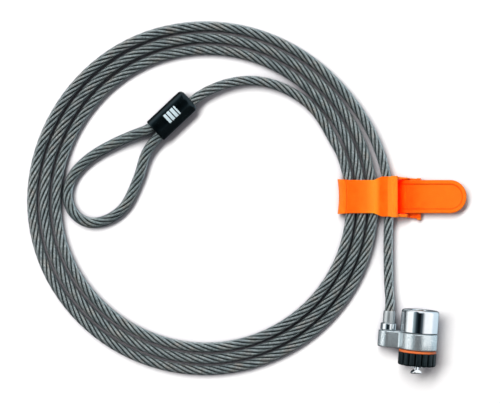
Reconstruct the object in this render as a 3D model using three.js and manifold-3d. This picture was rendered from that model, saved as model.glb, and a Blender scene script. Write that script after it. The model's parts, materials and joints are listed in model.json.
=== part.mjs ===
// A laptop cable lock: a coated wire rope with a looped eye at one end, a swivelling
// T-bar lock head at the other, and a flexible strap that holds the rope in a coil.
//
// Millimetres, +Z up. The coil lies flat, and the T-bar end of the lock head points
// towards -Y. Positions are measured from the middle of the coil, and the whole lock is
// moved at the end so that the origin is the bottom centre of its bounding box.

import * as THREE from 'three';
import * as BufferGeometryUtils from 'three/addons/utils/BufferGeometryUtils.js';
import Module from 'manifold-3d';

const wasm = await Module();
wasm.setup();

const TURN = 2 * Math.PI;
const DEGREE = Math.PI / 180;
const GAP = 0.3;

// ---------- driving dimensions ----------

// Rope and its clear coat
const ROPE_RADIUS = 2.25;
const COAT_BORE_RADIUS = 2.48;
const COAT_RADIUS = 2.75;
const ROPE_SIDES = 6;
const COAT_SIDES = 8;

// Coil
const COIL_CENTRE = { x: -0.4, y: 0.2 };
const COIL_RADIUS = 94.8;
const COIL_PITCH = 6.2;
const COIL_TURNS = 3;
const COIL_OVALITY = 0.7;
const COIL_OVAL_DIRECTION = -23 * DEGREE;
const COIL_BUNCHING = 0.24;
const COIL_BUNCHING_DIRECTION = -25 * DEGREE;
const COIL_DENT = 1.4;
const COIL_DENT_DIRECTION = 152 * DEGREE;
const COIL_DENT_SHARPNESS = 6;
const LEAD_STANDOFF = 2.4;
const LEAD_MERGE_ANGLE = 45 * DEGREE;
const COIL_STEP = 10 * DEGREE;
const COIL_EXIT_ANGLE = 20 * DEGREE;

// Strap
const STRAP_Y = 2.5;
const STRAP_THICKNESS = 1.1;
const STRAP_WIDTH = 17.6;
const STRAP_FOLD_X = 74.2;
const STRAP_LIFT = STRAP_THICKNESS + GAP;
const STRAP_LIFT_REACH = 62;
const BUCKLE_WIDTH = 21.2;
const BUCKLE_SKEW = 1.3;
const HOOD_START_X = 89;
const HOOD_FULL_X = 93.2;
const WINDOW_LEFT_X = 101.6;
const BUCKLE_END_X = 114.4;
const BUCKLE_TAB_WIDTH = 22.3;
const BUCKLE_LOW_Z = 1.2;
const TONGUE_PIVOT_X = 107.6;
const TONGUE_PIVOT_Z = 4.5;
const TONGUE_THICKNESS = 1.6;
const TONGUE_WIDTH = 17.6;
const TONGUE_TIP_X = 138.3;
const TONGUE_RIM = 2.0;
const TONGUE_RECESS = 0.5;

// Eye at the far end of the cable
const SLEEVE_LENGTH = 24.9;
const SLEEVE_WIDTH = 13.3;
const SLEEVE_HEIGHT = 10.6;
const SLEEVE_CENTRE = new THREE.Vector3(-17.2, 45.6, SLEEVE_HEIGHT / 2);
const SLEEVE_ANGLE = 43.3 * DEGREE;
const CRIMP_LENGTH = 14;
const CRIMP_WIDTH = 11.2;
const CRIMP_HEIGHT = 6.4;
const CRIMP_BORE_RADIUS = 2.5;
const LANE_OFFSET = 2.4;
const MOUTH_LANE_OFFSET = 3;

// Lock head, along its own axis: 0 where the barrel meets the link, + towards the key
const HEAD_SEAM = { x: 112.5, y: -69.2 };
const HEAD_TILT = 4.3 * DEGREE;
const LINK_BIG_RADIUS = 9.95;
const LINK_SMALL_RADIUS = 5;
const LINK_CENTRES = 16.6;
const LINK_FILLET = 1.2;
const LINK_HEIGHT = 8.7;
const BARREL_RADIUS = 9.85;
const BARREL_LENGTH = 12.2;
const BARREL_WALL = 1.3;
const KEYWAY_RADIUS = 4.3;
const BODY_RADIUS = 8.2;
const NOSE_RADIUS = 6.2;
const TAIL_RADIUS = 5.6;
const PLUG_RADIUS = 4.9;
const POST_RADIUS = 2.1;
const SHEAR_Z = 4;
const SLIP_RING_THICKNESS = 1.2;
const SLIP_RING_RADIUS = 9.8;
const THUMB_RING_RADIUS = 9.95;
const THUMB_RING_LENGTH = 6.6;
const RIB_COUNT = 17;
const RIB_DEPTH = 0.9;
const STEM_RADIUS = 1.25;
const T_HEAD_LENGTH = 5.6;
const T_HEAD_WIDTH = 2.4;
const T_HEAD_THICKNESS = 2;
const T_BAR_REACH = 4.4;
const T_BAR_ANGLE = 44 * DEGREE;
const GUIDE_PIN_RADIUS = 0.8;
const GUIDE_PIN_OFFSET = 2.6;
const GUIDE_PIN_REACH = 1.4;
const FERRULE_RADIUS = 3.1;
const FERRULE_LENGTH = 6.4;
const SHANK_RADIUS = 2.4;
const COLLAR_RADIUS = 4.1;
const COLLAR_LENGTH = 3.4;

// Tumblers
const PIN_COUNT = 7;
const PIN_CIRCLE_RADIUS = 3.2;
const PIN_RADIUS = 0.62;
const CHAMBER_RADIUS = 0.82;
const DRIVER_LENGTH = 2.7;
const KEY_PIN_LENGTHS = [3.4, 3.9, 3.1, 3.6, 4.1, 3.3, 3.8];
const SPRING_RADIUS = 0.48;
const SPRING_WIRE_RADIUS = 0.13;
const SPRING_LENGTH = 3.9;
const SPRING_TURNS = 4;

// Facets
const ROUND = 36;
const SMALL_ROUND = 14;
const PIN_ROUND = 8;
const SPRING_WIRE_SIDES = 4;

// ---------- materials ----------

const finish = (color, roughness, metalness, extra = {}) =>
  new THREE.MeshStandardMaterial({ color, roughness, metalness, ...extra });

const ropeSteel = finish(0x7d8582, 0.42, 0.85);
const clearCoat = finish(0xb9c4c2, 0.12, 0, { transparent: true, opacity: 0.3 });
const blackVinyl = finish(0x101315, 0.22, 0);
const orangeMoulding = finish(0xff7a1c, 0.42, 0);
const orangeRing = finish(0xe86a2a, 0.45, 0);
const blackMoulding = finish(0x1b1f22, 0.5, 0);
const chrome = finish(0xe6edf2, 0.06, 1);
const castZinc = finish(0xb4c1ca, 0.36, 0.9);
const brushedSteel = finish(0xb9c2c5, 0.3, 0.95);
const brass = finish(0xb59a5a, 0.35, 0.9);
const springSteel = finish(0x8f9599, 0.3, 0.95);

// ---------- solid helpers ----------

function toSolid(geometry) {
  const bare = geometry.clone();
  bare.deleteAttribute('normal');
  bare.deleteAttribute('uv');
  const merged = BufferGeometryUtils.mergeVertices(bare, 1e-4);
  return new wasm.Manifold(new wasm.Mesh({
    numProp: 3,
    vertProperties: new Float32Array(merged.attributes.position.array),
    triVerts: new Uint32Array(merged.index.array),
  }));
}

function toGeometry(solid) {
  const mesh = solid.getMesh();
  const geometry = new THREE.BufferGeometry();
  geometry.setAttribute('position', new THREE.BufferAttribute(mesh.vertProperties, 3));
  geometry.setIndex(new THREE.BufferAttribute(mesh.triVerts, 1));
  geometry.computeVertexNormals();
  return geometry;
}

const cut = (from, ...tools) =>
  toGeometry(tools.reduce((rest, tool) => rest.subtract(toSolid(tool)), toSolid(from)));

const join = (first, ...others) =>
  toGeometry(others.reduce((sum, other) => sum.add(toSolid(other)), toSolid(first)));

// A solid of revolution about Z from [radius, z] pairs that run anticlockwise around the section.
function turned(profile, segments = ROUND) {
  const points = profile.map(([radius, z]) => new THREE.Vector2(radius, z));
  return new THREE.LatheGeometry(points, segments).rotateX(Math.PI / 2);
}

// A shaft from z0 to z1 with a small chamfer at both ends.
function shaft(radius, z0, z1, segments = ROUND, chamfer = 0) {
  if (chamfer === 0) return turned([[0, z0], [radius, z0], [radius, z1], [0, z1]], segments);
  return turned([
    [0, z0],
    [radius - chamfer, z0],
    [radius, z0 + chamfer],
    [radius, z1 - chamfer],
    [radius - chamfer, z1],
    [0, z1],
  ], segments);
}

// A plain ring from z0 to z1, chamfered on its outside edges.
function ring(bore, radius, z0, z1, chamfer = 0.2, segments = ROUND) {
  return turned([
    [bore, z0],
    [radius - chamfer, z0],
    [radius, z0 + chamfer],
    [radius, z1 - chamfer],
    [radius - chamfer, z1],
    [bore, z1],
    [bore, z0],
  ], segments);
}

function discShape(radius) {
  const shape = new THREE.Shape();
  shape.absarc(0, 0, radius, 0, TURN, false);
  return shape;
}

// A slot outline, round at both ends, centred on the origin and longest along X.
function slotShape(width, height) {
  const radius = height / 2;
  const reach = width / 2 - radius;
  const shape = new THREE.Shape();
  shape.absarc(reach, 0, radius, -Math.PI / 2, Math.PI / 2, false);
  shape.absarc(-reach, 0, radius, Math.PI / 2, 1.5 * Math.PI, false);
  return shape;
}

function prism(shape, z0, z1, curveSegments = 12) {
  return new THREE.ExtrudeGeometry(shape, { depth: z1 - z0, bevelEnabled: false, curveSegments })
    .translate(0, 0, z0);
}

function bevelledPrism(shape, z0, z1, bevel, curveSegments = 12, bevelSegments = 2) {
  return new THREE.ExtrudeGeometry(shape, {
    depth: z1 - z0 - 2 * bevel,
    bevelThickness: bevel,
    bevelSize: bevel,
    bevelOffset: -bevel,
    bevelSegments,
    curveSegments,
  }).translate(0, 0, z0 + bevel);
}

// A prism whose outline is drawn in the XZ plane and which is centred on STRAP_Y.
function acrossStrap(shape, width) {
  return new THREE.ExtrudeGeometry(shape, { depth: width, bevelEnabled: false, curveSegments: 5 })
    .rotateX(Math.PI / 2)
    .translate(0, STRAP_Y + width / 2, 0);
}

function part(name, geometry, material) {
  const mesh = new THREE.Mesh(geometry, material);
  mesh.name = name;
  return mesh;
}

function around(radius, angle) {
  return [radius * Math.cos(angle), radius * Math.sin(angle)];
}

// ---------- cable path ----------

const smooth = (t) => {
  const clamped = Math.min(Math.max(t, 0), 1);
  return clamped * clamped * (3 - 2 * clamped);
};

// The cable rests on the table, and rises over the strap's underside near the strap.
function cableHeight(x, y) {
  if (x < 0) return COAT_RADIUS;
  const nearness = 1 - smooth(Math.abs(y - STRAP_Y) / STRAP_LIFT_REACH);
  return COAT_RADIUS + STRAP_LIFT * nearness;
}

// The coil winds inwards from the lead. Its turns lie closest in one direction, and all of
// them are pressed in a little in another.
function coilPoint(angle) {
  const oval = COIL_OVALITY * Math.cos(2 * (angle - COIL_OVAL_DIRECTION));
  const pitch = COIL_PITCH - COIL_BUNCHING * Math.cos(angle - COIL_BUNCHING_DIRECTION);
  const standoff = LEAD_STANDOFF * (1 - smooth(angle / LEAD_MERGE_ANGLE));
  const nearDent = Math.cos(angle - COIL_DENT_DIRECTION) - 1;
  const dent = COIL_DENT * Math.exp(COIL_DENT_SHARPNESS * nearDent);
  const radius = COIL_RADIUS - pitch * angle / TURN + oval + standoff - dent;
  const [alongX, alongY] = around(radius, angle);
  const x = COIL_CENTRE.x + alongX;
  const y = COIL_CENTRE.y + alongY;
  return new THREE.Vector3(x, y, cableHeight(x, y));
}

// Evenly spaced stops along a smooth curve through the given points, none below the table.
function throughPoints(points, divisions) {
  const stops = new THREE.CatmullRomCurve3(points, false, 'centripetal').getSpacedPoints(divisions);
  stops.forEach((stop) => {
    stop.z = Math.max(stop.z, COAT_RADIUS);
  });
  return stops;
}

const headAxis = new THREE.Vector3(Math.sin(HEAD_TILT), Math.cos(HEAD_TILT), 0);
const linkRise = LINK_BIG_RADIUS - LINK_SMALL_RADIUS;
const linkRoll = Math.asin(linkRise / LINK_CENTRES);
const linkSpread = LINK_CENTRES * Math.cos(linkRoll);
const swivelSeam = new THREE.Vector3(
  HEAD_SEAM.x - linkSpread * Math.cos(HEAD_TILT),
  HEAD_SEAM.y + linkSpread * Math.sin(HEAD_TILT),
  LINK_SMALL_RADIUS,
);
const onSwivelAxis = (z) => swivelSeam.clone().addScaledVector(headAxis, z);

const ferruleBase = GAP + COLLAR_LENGTH + 0.1;
const ferruleTop = ferruleBase + FERRULE_LENGTH;

const sleeveDirection = new THREE.Vector3(Math.cos(SLEEVE_ANGLE), Math.sin(SLEEVE_ANGLE), 0);
const sleeveSide = new THREE.Vector3(Math.sin(SLEEVE_ANGLE), -Math.cos(SLEEVE_ANGLE), 0);
const inSleeve = (along, side) => SLEEVE_CENTRE.clone()
  .addScaledVector(sleeveDirection, along)
  .addScaledVector(sleeveSide, side);

function leadPoints() {
  const anchor = throughPoints([
    onSwivelAxis(ferruleTop + 0.5),
    onSwivelAxis(ferruleTop + 5),
    new THREE.Vector3(97.3, -44, 4.1),
    new THREE.Vector3(97, -27, 3.5),
    new THREE.Vector3(97.1, -10, 3.9),
    coilPoint(0),
  ], 11);
  return [onSwivelAxis(ferruleBase + 1), ...anchor.slice(0, -1)];
}

function coilPoints() {
  const last = COIL_TURNS * TURN + COIL_EXIT_ANGLE;
  const count = Math.round(last / COIL_STEP);
  return Array.from({ length: count + 1 }, (_, i) => coilPoint(i * last / count));
}

const mouth = SLEEVE_LENGTH / 2;
const crimpHalf = CRIMP_LENGTH / 2;

function archPoints(coilEnd) {
  return throughPoints([
    coilEnd,
    new THREE.Vector3(57.8, 48.6, 3),
    new THREE.Vector3(43.2, 59.2, 3.4),
    new THREE.Vector3(27, 63.8, 4.1),
    new THREE.Vector3(11.5, 62.2, 4.9),
    inSleeve(mouth + 4, LANE_OFFSET - 0.2),
    inSleeve(crimpHalf + 1, LANE_OFFSET),
  ], 17).slice(1);
}

function loopPoints() {
  return throughPoints([
    inSleeve(-mouth + 1.2, MOUTH_LANE_OFFSET),
    inSleeve(-mouth - 1.5, MOUTH_LANE_OFFSET + 0.1),
    new THREE.Vector3(-30.9, 25.8, 4),
    new THREE.Vector3(-35.8, 11.2, 3),
    new THREE.Vector3(-43.2, -3.3, COAT_RADIUS),
    new THREE.Vector3(-53, -10.2, COAT_RADIUS),
    new THREE.Vector3(-62.5, -11, COAT_RADIUS),
    new THREE.Vector3(-70, -5.8, COAT_RADIUS),
    new THREE.Vector3(-73, 3.5, COAT_RADIUS),
    new THREE.Vector3(-70, 13.6, COAT_RADIUS),
    new THREE.Vector3(-61.4, 22.7, 3),
    new THREE.Vector3(-49, 30.1, 3.8),
    new THREE.Vector3(-38.1, 34.9, 4.6),
    inSleeve(-mouth - 1.5, -MOUTH_LANE_OFFSET - 0.1),
    inSleeve(-mouth + 1.2, -MOUTH_LANE_OFFSET),
  ], 40);
}

// A path with one stop for each given point, so that every stop becomes one ring of the sweep.
class StationPath extends THREE.CatmullRomCurve3 {
  getUtoTmapping(u) {
    return u;
  }
}

// Sweeps a round outline with the given number of sides along the stations.
function sweep(shape, stations, sides) {
  return new THREE.ExtrudeGeometry(shape, {
    extrudePath: new StationPath(stations),
    steps: stations.length - 1,
    curveSegments: sides / 2,
  });
}

const lead = leadPoints();
const coil = coilPoints();
const arch = archPoints(coil[coil.length - 1]);
const loop = loopPoints();

// The rope runs on bare through the crimp, where the coat is stripped, and ends inside it.
function wireRope() {
  const inCrimp = (along, side) => inSleeve(along * (crimpHalf - 0.5), side * LANE_OFFSET);
  const stations = [
    ...lead, ...coil, ...arch, inCrimp(1, 1), inCrimp(-1, 1),
    ...loop, inCrimp(-1, -1), inCrimp(1, -1),
  ];
  return part('wire_rope', sweep(discShape(ROPE_RADIUS), stations, ROPE_SIDES), ropeSteel);
}

function coatShape() {
  const shape = discShape(COAT_RADIUS);
  shape.holes.push(discShape(COAT_BORE_RADIUS));
  return shape;
}

function cableSheath() {
  const stations = [...lead.slice(1), ...coil, ...arch];
  return part('cable_sheath', sweep(coatShape(), stations, COAT_SIDES), clearCoat);
}

function eyeSheath() {
  return part('eye_sheath', sweep(coatShape(), loop, COAT_SIDES), clearCoat);
}

// ---------- eye crimp and sleeve ----------

// Both are drawn along +Z and laid along the sleeve's direction, lanes side by side in the plane.
function eyeGroup() {
  const group = new THREE.Group();
  group.position.copy(SLEEVE_CENTRE);
  const down = new THREE.Vector3(0, 0, -1);
  group.quaternion.setFromRotationMatrix(
    new THREE.Matrix4().makeBasis(sleeveSide, down, sleeveDirection),
  );
  group.add(eyeCrimp(), eyeSleeve());
  return group;
}

const lane = (radius, side, z0, z1) =>
  prism(discShape(radius), z0, z1, 8).translate(side * LANE_OFFSET, 0, 0);

function eyeCrimp() {
  const through = crimpHalf + 1;
  const blank = bevelledPrism(slotShape(CRIMP_WIDTH, CRIMP_HEIGHT), -crimpHalf, crimpHalf, 0.4, 4);
  return part('eye_crimp', cut(
    blank,
    lane(CRIMP_BORE_RADIUS, 1, -through, through),
    lane(CRIMP_BORE_RADIUS, -1, -through, through),
  ), brushedSteel);
}

function eyeSleeve() {
  const endBevel = 1.6;
  const pocketEnd = crimpHalf + GAP;
  const flatTrim = 3;
  const blank = bevelledPrism(
    slotShape(SLEEVE_WIDTH, SLEEVE_HEIGHT), -mouth - flatTrim, mouth, endBevel, 6,
  );
  const flatEnd = new THREE.BoxGeometry(2 * SLEEVE_WIDTH, 2 * SLEEVE_WIDTH, 2 * flatTrim)
    .translate(0, 0, -mouth - flatTrim);
  const pocket = prism(slotShape(CRIMP_WIDTH + 2 * GAP, CRIMP_HEIGHT + 2 * GAP),
    -mouth - 1, pocketEnd, 4);
  const throat = prism(slotShape(SLEEVE_WIDTH - 1.1, 2 * COAT_RADIUS + 2 * GAP),
    -mouth - 1, -mouth + 1.8, 5);
  const cableBore = lane(COAT_RADIUS + GAP, 1, pocketEnd - 1, mouth + 1);
  return part('eye_sleeve', cut(blank, flatEnd, pocket, throat, cableBore), blackVinyl);
}

// ---------- strap ----------

// Turns an open centre line into a closed strip of the given thickness.
function strip(centreLine, thickness) {
  const offset = (side) => centreLine.map((point, i) => {
    const before = centreLine[Math.max(i - 1, 0)];
    const after = centreLine[Math.min(i + 1, centreLine.length - 1)];
    const normal = new THREE.Vector2(before.y - after.y, after.x - before.x).normalize();
    return point.clone().addScaledVector(normal, side * thickness / 2);
  });
  return new THREE.Shape([...offset(-1), ...offset(1).reverse()]);
}

const strapLowZ = STRAP_THICKNESS / 2;
const strapHighZ = STRAP_LIFT + 2 * COAT_RADIUS + GAP + STRAP_THICKNESS / 2;
const bandEndX = TONGUE_PIVOT_X - TONGUE_THICKNESS / 2 - GAP;
const railDropX = TONGUE_PIVOT_X + 0.9;

// The band as it wraps the cables, seen from the side.
function wrapCentreLine() {
  const path = new THREE.Path();
  const foldZ = (strapLowZ + strapHighZ) / 2;
  path.moveTo(WINDOW_LEFT_X - 6, strapHighZ);
  path.lineTo(STRAP_FOLD_X, strapHighZ);
  path.absarc(STRAP_FOLD_X, foldZ, strapHighZ - foldZ, Math.PI / 2, 1.5 * Math.PI, false);
  path.lineTo(WINDOW_LEFT_X - 2, strapLowZ);
  path.bezierCurveTo(
    WINDOW_LEFT_X + 1.5, strapLowZ,
    bandEndX - 3, TONGUE_PIVOT_Z,
    bandEndX, TONGUE_PIVOT_Z,
  );
  return path.getPoints(9);
}

// The stiff frame that the tongue passes through, seen from the side.
function buckleHood() {
  const top = strapHighZ + STRAP_THICKNESS / 2;
  const shape = new THREE.Shape();
  shape.moveTo(HOOD_START_X, top - STRAP_THICKNESS);
  shape.lineTo(WINDOW_LEFT_X - 1.3, top - STRAP_THICKNESS);
  shape.lineTo(WINDOW_LEFT_X - 1.3, 4.4);
  shape.lineTo(WINDOW_LEFT_X, 4.4);
  shape.lineTo(WINDOW_LEFT_X, top + 0.9);
  shape.lineTo(WINDOW_LEFT_X - 4, top + 1.1);
  shape.lineTo(HOOD_FULL_X, top + 0.8);
  shape.lineTo(HOOD_START_X, top);
  return cut(acrossStrap(shape, BUCKLE_WIDTH), hoodCorner(1), hoodCorner(-1));
}

// The waste beside the hood where it widens from the band's width to the buckle's.
function hoodCorner(side) {
  const outside = BUCKLE_WIDTH / 2 + 1;
  const waste = new THREE.Shape();
  waste.moveTo(HOOD_START_X - 1, side * STRAP_WIDTH / 2);
  waste.lineTo(HOOD_START_X, side * STRAP_WIDTH / 2);
  waste.lineTo(HOOD_FULL_X, side * BUCKLE_WIDTH / 2);
  waste.lineTo(HOOD_FULL_X, side * outside);
  waste.lineTo(HOOD_START_X - 1, side * outside);
  return prism(waste, 0, 20).translate(0, STRAP_Y, 0);
}

// The rails run down from the hood beside the tongue, and on below it to the end bar.
function railSideView() {
  const shape = new THREE.Shape();
  shape.moveTo(WINDOW_LEFT_X - 0.8, 4.6);
  shape.lineTo(BUCKLE_END_X - 4, BUCKLE_LOW_Z);
  shape.lineTo(BUCKLE_END_X, BUCKLE_LOW_Z);
  shape.lineTo(BUCKLE_END_X, BUCKLE_LOW_Z + 1.9);
  shape.lineTo(railDropX, BUCKLE_LOW_Z + 1.9);
  shape.lineTo(railDropX - 1.8, 5.8);
  shape.lineTo(WINDOW_LEFT_X - 0.8, 8.8);
  return acrossStrap(shape, 2 * BUCKLE_WIDTH);
}

function inPlan(corners, z0, z1) {
  const shape = new THREE.Shape(corners.map(([x, y]) => new THREE.Vector2(x, STRAP_Y + y)));
  return prism(shape, z0, z1);
}

// The buckle's far end stands a little to one side, so one rail tucks in below the tongue.
function tuckedRail() {
  const inner = TONGUE_WIDTH / 2 + GAP;
  const outer = BUCKLE_WIDTH / 2;
  return inPlan([
    [WINDOW_LEFT_X - 0.8, inner],
    [railDropX + 0.2, inner],
    [railDropX + 0.2, outer - BUCKLE_SKEW - 1.5],
    [BUCKLE_END_X, outer - BUCKLE_SKEW - 1.5],
    [BUCKLE_END_X, outer - BUCKLE_SKEW],
    [WINDOW_LEFT_X - 0.8, outer],
  ], 0, 10);
}

function exposedRail() {
  const inner = TONGUE_WIDTH / 2 + GAP;
  const outer = BUCKLE_WIDTH / 2;
  return inPlan([
    [WINDOW_LEFT_X - 0.8, -outer],
    [BUCKLE_END_X, -outer - BUCKLE_SKEW],
    [BUCKLE_END_X, -outer - BUCKLE_SKEW + 1.3],
    [railDropX - 0.8, -outer + 0.4],
    [railDropX - 0.8, -inner],
    [WINDOW_LEFT_X - 0.8, -inner],
  ], 0, 10);
}

// A low shelf between the exposed rail and the tongue.
function railShelf() {
  return inPlan([
    [railDropX - 1, -BUCKLE_WIDTH / 2],
    [BUCKLE_END_X - 0.5, -BUCKLE_WIDTH / 2 - BUCKLE_SKEW + 0.5],
    [BUCKLE_END_X - 0.5, -TONGUE_WIDTH / 2 + 1],
    [railDropX - 1, -TONGUE_WIDTH / 2 + 1],
  ], BUCKLE_LOW_Z, BUCKLE_LOW_Z + 1);
}

function buckleRails() {
  const profile = toSolid(railSideView());
  const outlines = [tuckedRail(), exposedRail()].map(toSolid);
  const rails = outlines.map((outline) => profile.intersect(outline));
  return toGeometry(rails[0].add(rails[1]).add(toSolid(railShelf())));
}

function buckleEndBar() {
  const length = 2;
  const height = 1.9;
  return new THREE.BoxGeometry(length, BUCKLE_TAB_WIDTH, height)
    .translate(BUCKLE_END_X - length / 2, STRAP_Y - BUCKLE_SKEW, BUCKLE_LOW_Z + height / 2);
}

function strapBand() {
  const wrap = acrossStrap(strip(wrapCentreLine(), STRAP_THICKNESS), STRAP_WIDTH);
  return part('strap_band', join(
    wrap, buckleHood(), buckleRails(), buckleEndBar(),
  ), orangeMoulding);
}

// A rounded tab outline in plan, starting at the pivot and ending in a half circle.
function tongueOutline(inset, startX) {
  const radius = TONGUE_WIDTH / 2 - inset;
  const centreX = TONGUE_TIP_X - TONGUE_WIDTH / 2;
  const shape = new THREE.Shape();
  shape.moveTo(startX, -radius);
  shape.lineTo(centreX, -radius);
  shape.absarc(centreX, 0, radius, -Math.PI / 2, Math.PI / 2, false);
  shape.lineTo(startX, radius);
  return shape;
}

function strapTongue() {
  const low = TONGUE_PIVOT_Z - TONGUE_THICKNESS / 2;
  const high = TONGUE_PIVOT_Z + TONGUE_THICKNESS / 2;
  const blade = prism(tongueOutline(0, TONGUE_PIVOT_X), low, high, 10).translate(0, STRAP_Y, 0);
  const recess = prism(tongueOutline(TONGUE_RIM, TONGUE_PIVOT_X + 2), high - TONGUE_RECESS, high + 1, 10)
    .translate(0, STRAP_Y, 0);
  const knuckle = acrossStrap(discShape(TONGUE_THICKNESS / 2), TONGUE_WIDTH)
    .translate(TONGUE_PIVOT_X, 0, TONGUE_PIVOT_Z);
  return part('strap_tongue', cut(join(blade, knuckle), recess), orangeMoulding);
}

// ---------- lock head ----------

const linkBottom = -LINK_HEIGHT;
const slipTop = linkBottom - GAP;
const slipBottom = slipTop - SLIP_RING_THICKNESS;
const thumbTop = slipBottom - 0.2;
const thumbBottom = thumbTop - THUMB_RING_LENGTH;
const tailEndZ = thumbBottom + 0.4;
const noseEndZ = thumbTop - 0.3;
const chamberFloor = SHEAR_Z - 0.2 - DRIVER_LENGTH - SPRING_LENGTH - 0.5;
const pinAngle = (i) => i * TURN / PIN_COUNT;

function pinAxis(geometry, i) {
  const [x, y] = around(PIN_CIRCLE_RADIUS, pinAngle(i));
  return geometry.translate(x, y, 0);
}

const tumblers = (make) => Array.from({ length: PIN_COUNT }, (_, i) => make(i));

function barrelShell() {
  const rim = 1.1;
  const top = BARREL_LENGTH;
  const inside = top - BARREL_WALL;
  const opening = KEYWAY_RADIUS + GAP;
  const profile = [
    [BARREL_RADIUS - BARREL_WALL, GAP],
    [BARREL_RADIUS - 0.3, GAP],
    [BARREL_RADIUS, GAP + 0.3],
    [BARREL_RADIUS, top - rim],
    [BARREL_RADIUS - 0.3 * rim, top - 0.3 * rim],
    [BARREL_RADIUS - rim, top],
    [opening + 0.4, top],
    [opening, top - 0.4],
    [opening, inside],
    [BARREL_RADIUS - BARREL_WALL, inside],
    [BARREL_RADIUS - BARREL_WALL, GAP],
  ];
  return part('barrel_shell', turned(profile), chrome);
}

function lockBody() {
  const top = BARREL_LENGTH - BARREL_WALL - GAP;
  const web = SHEAR_Z - 0.2;
  const blank = turned([
    [STEM_RADIUS + 0.2, tailEndZ],
    [TAIL_RADIUS, tailEndZ],
    [TAIL_RADIUS, noseEndZ],
    [NOSE_RADIUS, noseEndZ],
    [NOSE_RADIUS, GAP],
    [BODY_RADIUS, GAP],
    [BODY_RADIUS, top],
    [PLUG_RADIUS + GAP, top],
    [PLUG_RADIUS + GAP, web],
    [STEM_RADIUS + 0.2, web],
    [STEM_RADIUS + 0.2, tailEndZ],
  ]);
  const chambers = tumblers((i) =>
    pinAxis(shaft(CHAMBER_RADIUS, chamberFloor, web + 1, PIN_ROUND + 2), i));
  const pinHoles = [1, -1].map((side) =>
    guidePinBlank(side, GUIDE_PIN_RADIUS + 0.2, tailEndZ - 1, tailEndZ + 5));
  return part('lock_body', cut(blank, ...chambers, ...pinHoles), castZinc);
}

function keywayCollar() {
  const z0 = SHEAR_Z + 4.4;
  const z1 = BARREL_LENGTH - BARREL_WALL - GAP;
  const collar = ring(KEYWAY_RADIUS, PLUG_RADIUS, z0, z1, 0.15);
  const notch = new THREE.BoxGeometry(1.6, 3, 3 * (z1 - z0)).translate(0, PLUG_RADIUS, z1);
  return part('keyway_collar', cut(collar, notch), brushedSteel);
}

function keyPlug() {
  const z0 = SHEAR_Z + 0.1;
  const face = SHEAR_Z + 4.1;
  const blank = turned([
    [0, z0 + 3.2],
    [STEM_RADIUS + 0.2, z0 + 3.2],
    [STEM_RADIUS + 0.2, z0],
    [PLUG_RADIUS, z0],
    [PLUG_RADIUS, face],
    [POST_RADIUS, face],
    [POST_RADIUS, BARREL_LENGTH - 0.8],
    [POST_RADIUS - 0.3, BARREL_LENGTH - 0.5],
    [0, BARREL_LENGTH - 0.5],
  ]);
  const chambers = tumblers((i) => pinAxis(shaft(CHAMBER_RADIUS, z0 - 1, face + 1, PIN_ROUND + 2), i));
  return part('key_plug', cut(blank, ...chambers), brass);
}

function tBar() {
  const headEnd = thumbBottom - T_BAR_REACH;
  const headBack = headEnd + T_HEAD_THICKNESS;
  const stem = shaft(STEM_RADIUS, headEnd + 0.5, SHEAR_Z + 3, SMALL_ROUND);
  const half = T_HEAD_LENGTH / 2;
  const outline = new THREE.Shape();
  outline.moveTo(-half + 0.5, headEnd);
  outline.lineTo(half - 0.5, headEnd);
  outline.lineTo(half, headEnd + 0.5);
  outline.lineTo(half, headBack - 0.7);
  outline.lineTo(STEM_RADIUS, headBack);
  outline.lineTo(-STEM_RADIUS, headBack);
  outline.lineTo(-half, headBack - 0.7);
  outline.lineTo(-half, headEnd + 0.5);
  const head = new THREE.ExtrudeGeometry(outline, { depth: T_HEAD_WIDTH, bevelEnabled: false })
    .rotateX(Math.PI / 2)
    .translate(0, T_HEAD_WIDTH / 2, 0);
  return part('t_bar', join(stem, head).rotateZ(T_BAR_ANGLE), chrome);
}

function guidePinBlank(side, radius, z0, z1) {
  const [x, y] = around(side * GUIDE_PIN_OFFSET, T_BAR_ANGLE);
  return shaft(radius, z0, z1, SMALL_ROUND).translate(x, y, 0);
}

function guidePin(number) {
  const side = number === 1 ? 1 : -1;
  const pin = guidePinBlank(side, GUIDE_PIN_RADIUS, thumbBottom - GUIDE_PIN_REACH, tailEndZ + 4.7);
  return part(`guide_pin_${number}`, pin, chrome);
}

function driverPin(i) {
  const top = SHEAR_Z - 0.25;
  const pin = pinAxis(shaft(PIN_RADIUS, top - DRIVER_LENGTH, top, PIN_ROUND, 0.15), i);
  return part(`driver_pin_${i + 1}`, pin, brushedSteel);
}

function keyPin(i) {
  const bottom = SHEAR_Z + 0.15;
  const pin = pinAxis(shaft(PIN_RADIUS, bottom, bottom + KEY_PIN_LENGTHS[i], PIN_ROUND, 0.15), i);
  return part(`key_pin_${i + 1}`, pin, brass);
}

function pinSpring(i) {
  const bottom = chamberFloor + 0.25;
  const stepsPerTurn = 6;
  const steps = SPRING_TURNS * stepsPerTurn;
  const stations = Array.from({ length: steps + 1 }, (_, step) => {
    const [x, y] = around(SPRING_RADIUS, step * TURN / stepsPerTurn);
    const rise = SPRING_LENGTH - 2 * SPRING_WIRE_RADIUS;
    return new THREE.Vector3(x, y, bottom + SPRING_WIRE_RADIUS + rise * step / steps);
  });
  const wire = sweep(discShape(SPRING_WIRE_RADIUS), stations, SPRING_WIRE_SIDES);
  return part(`pin_spring_${i + 1}`, pinAxis(wire, i), springSteel);
}

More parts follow.
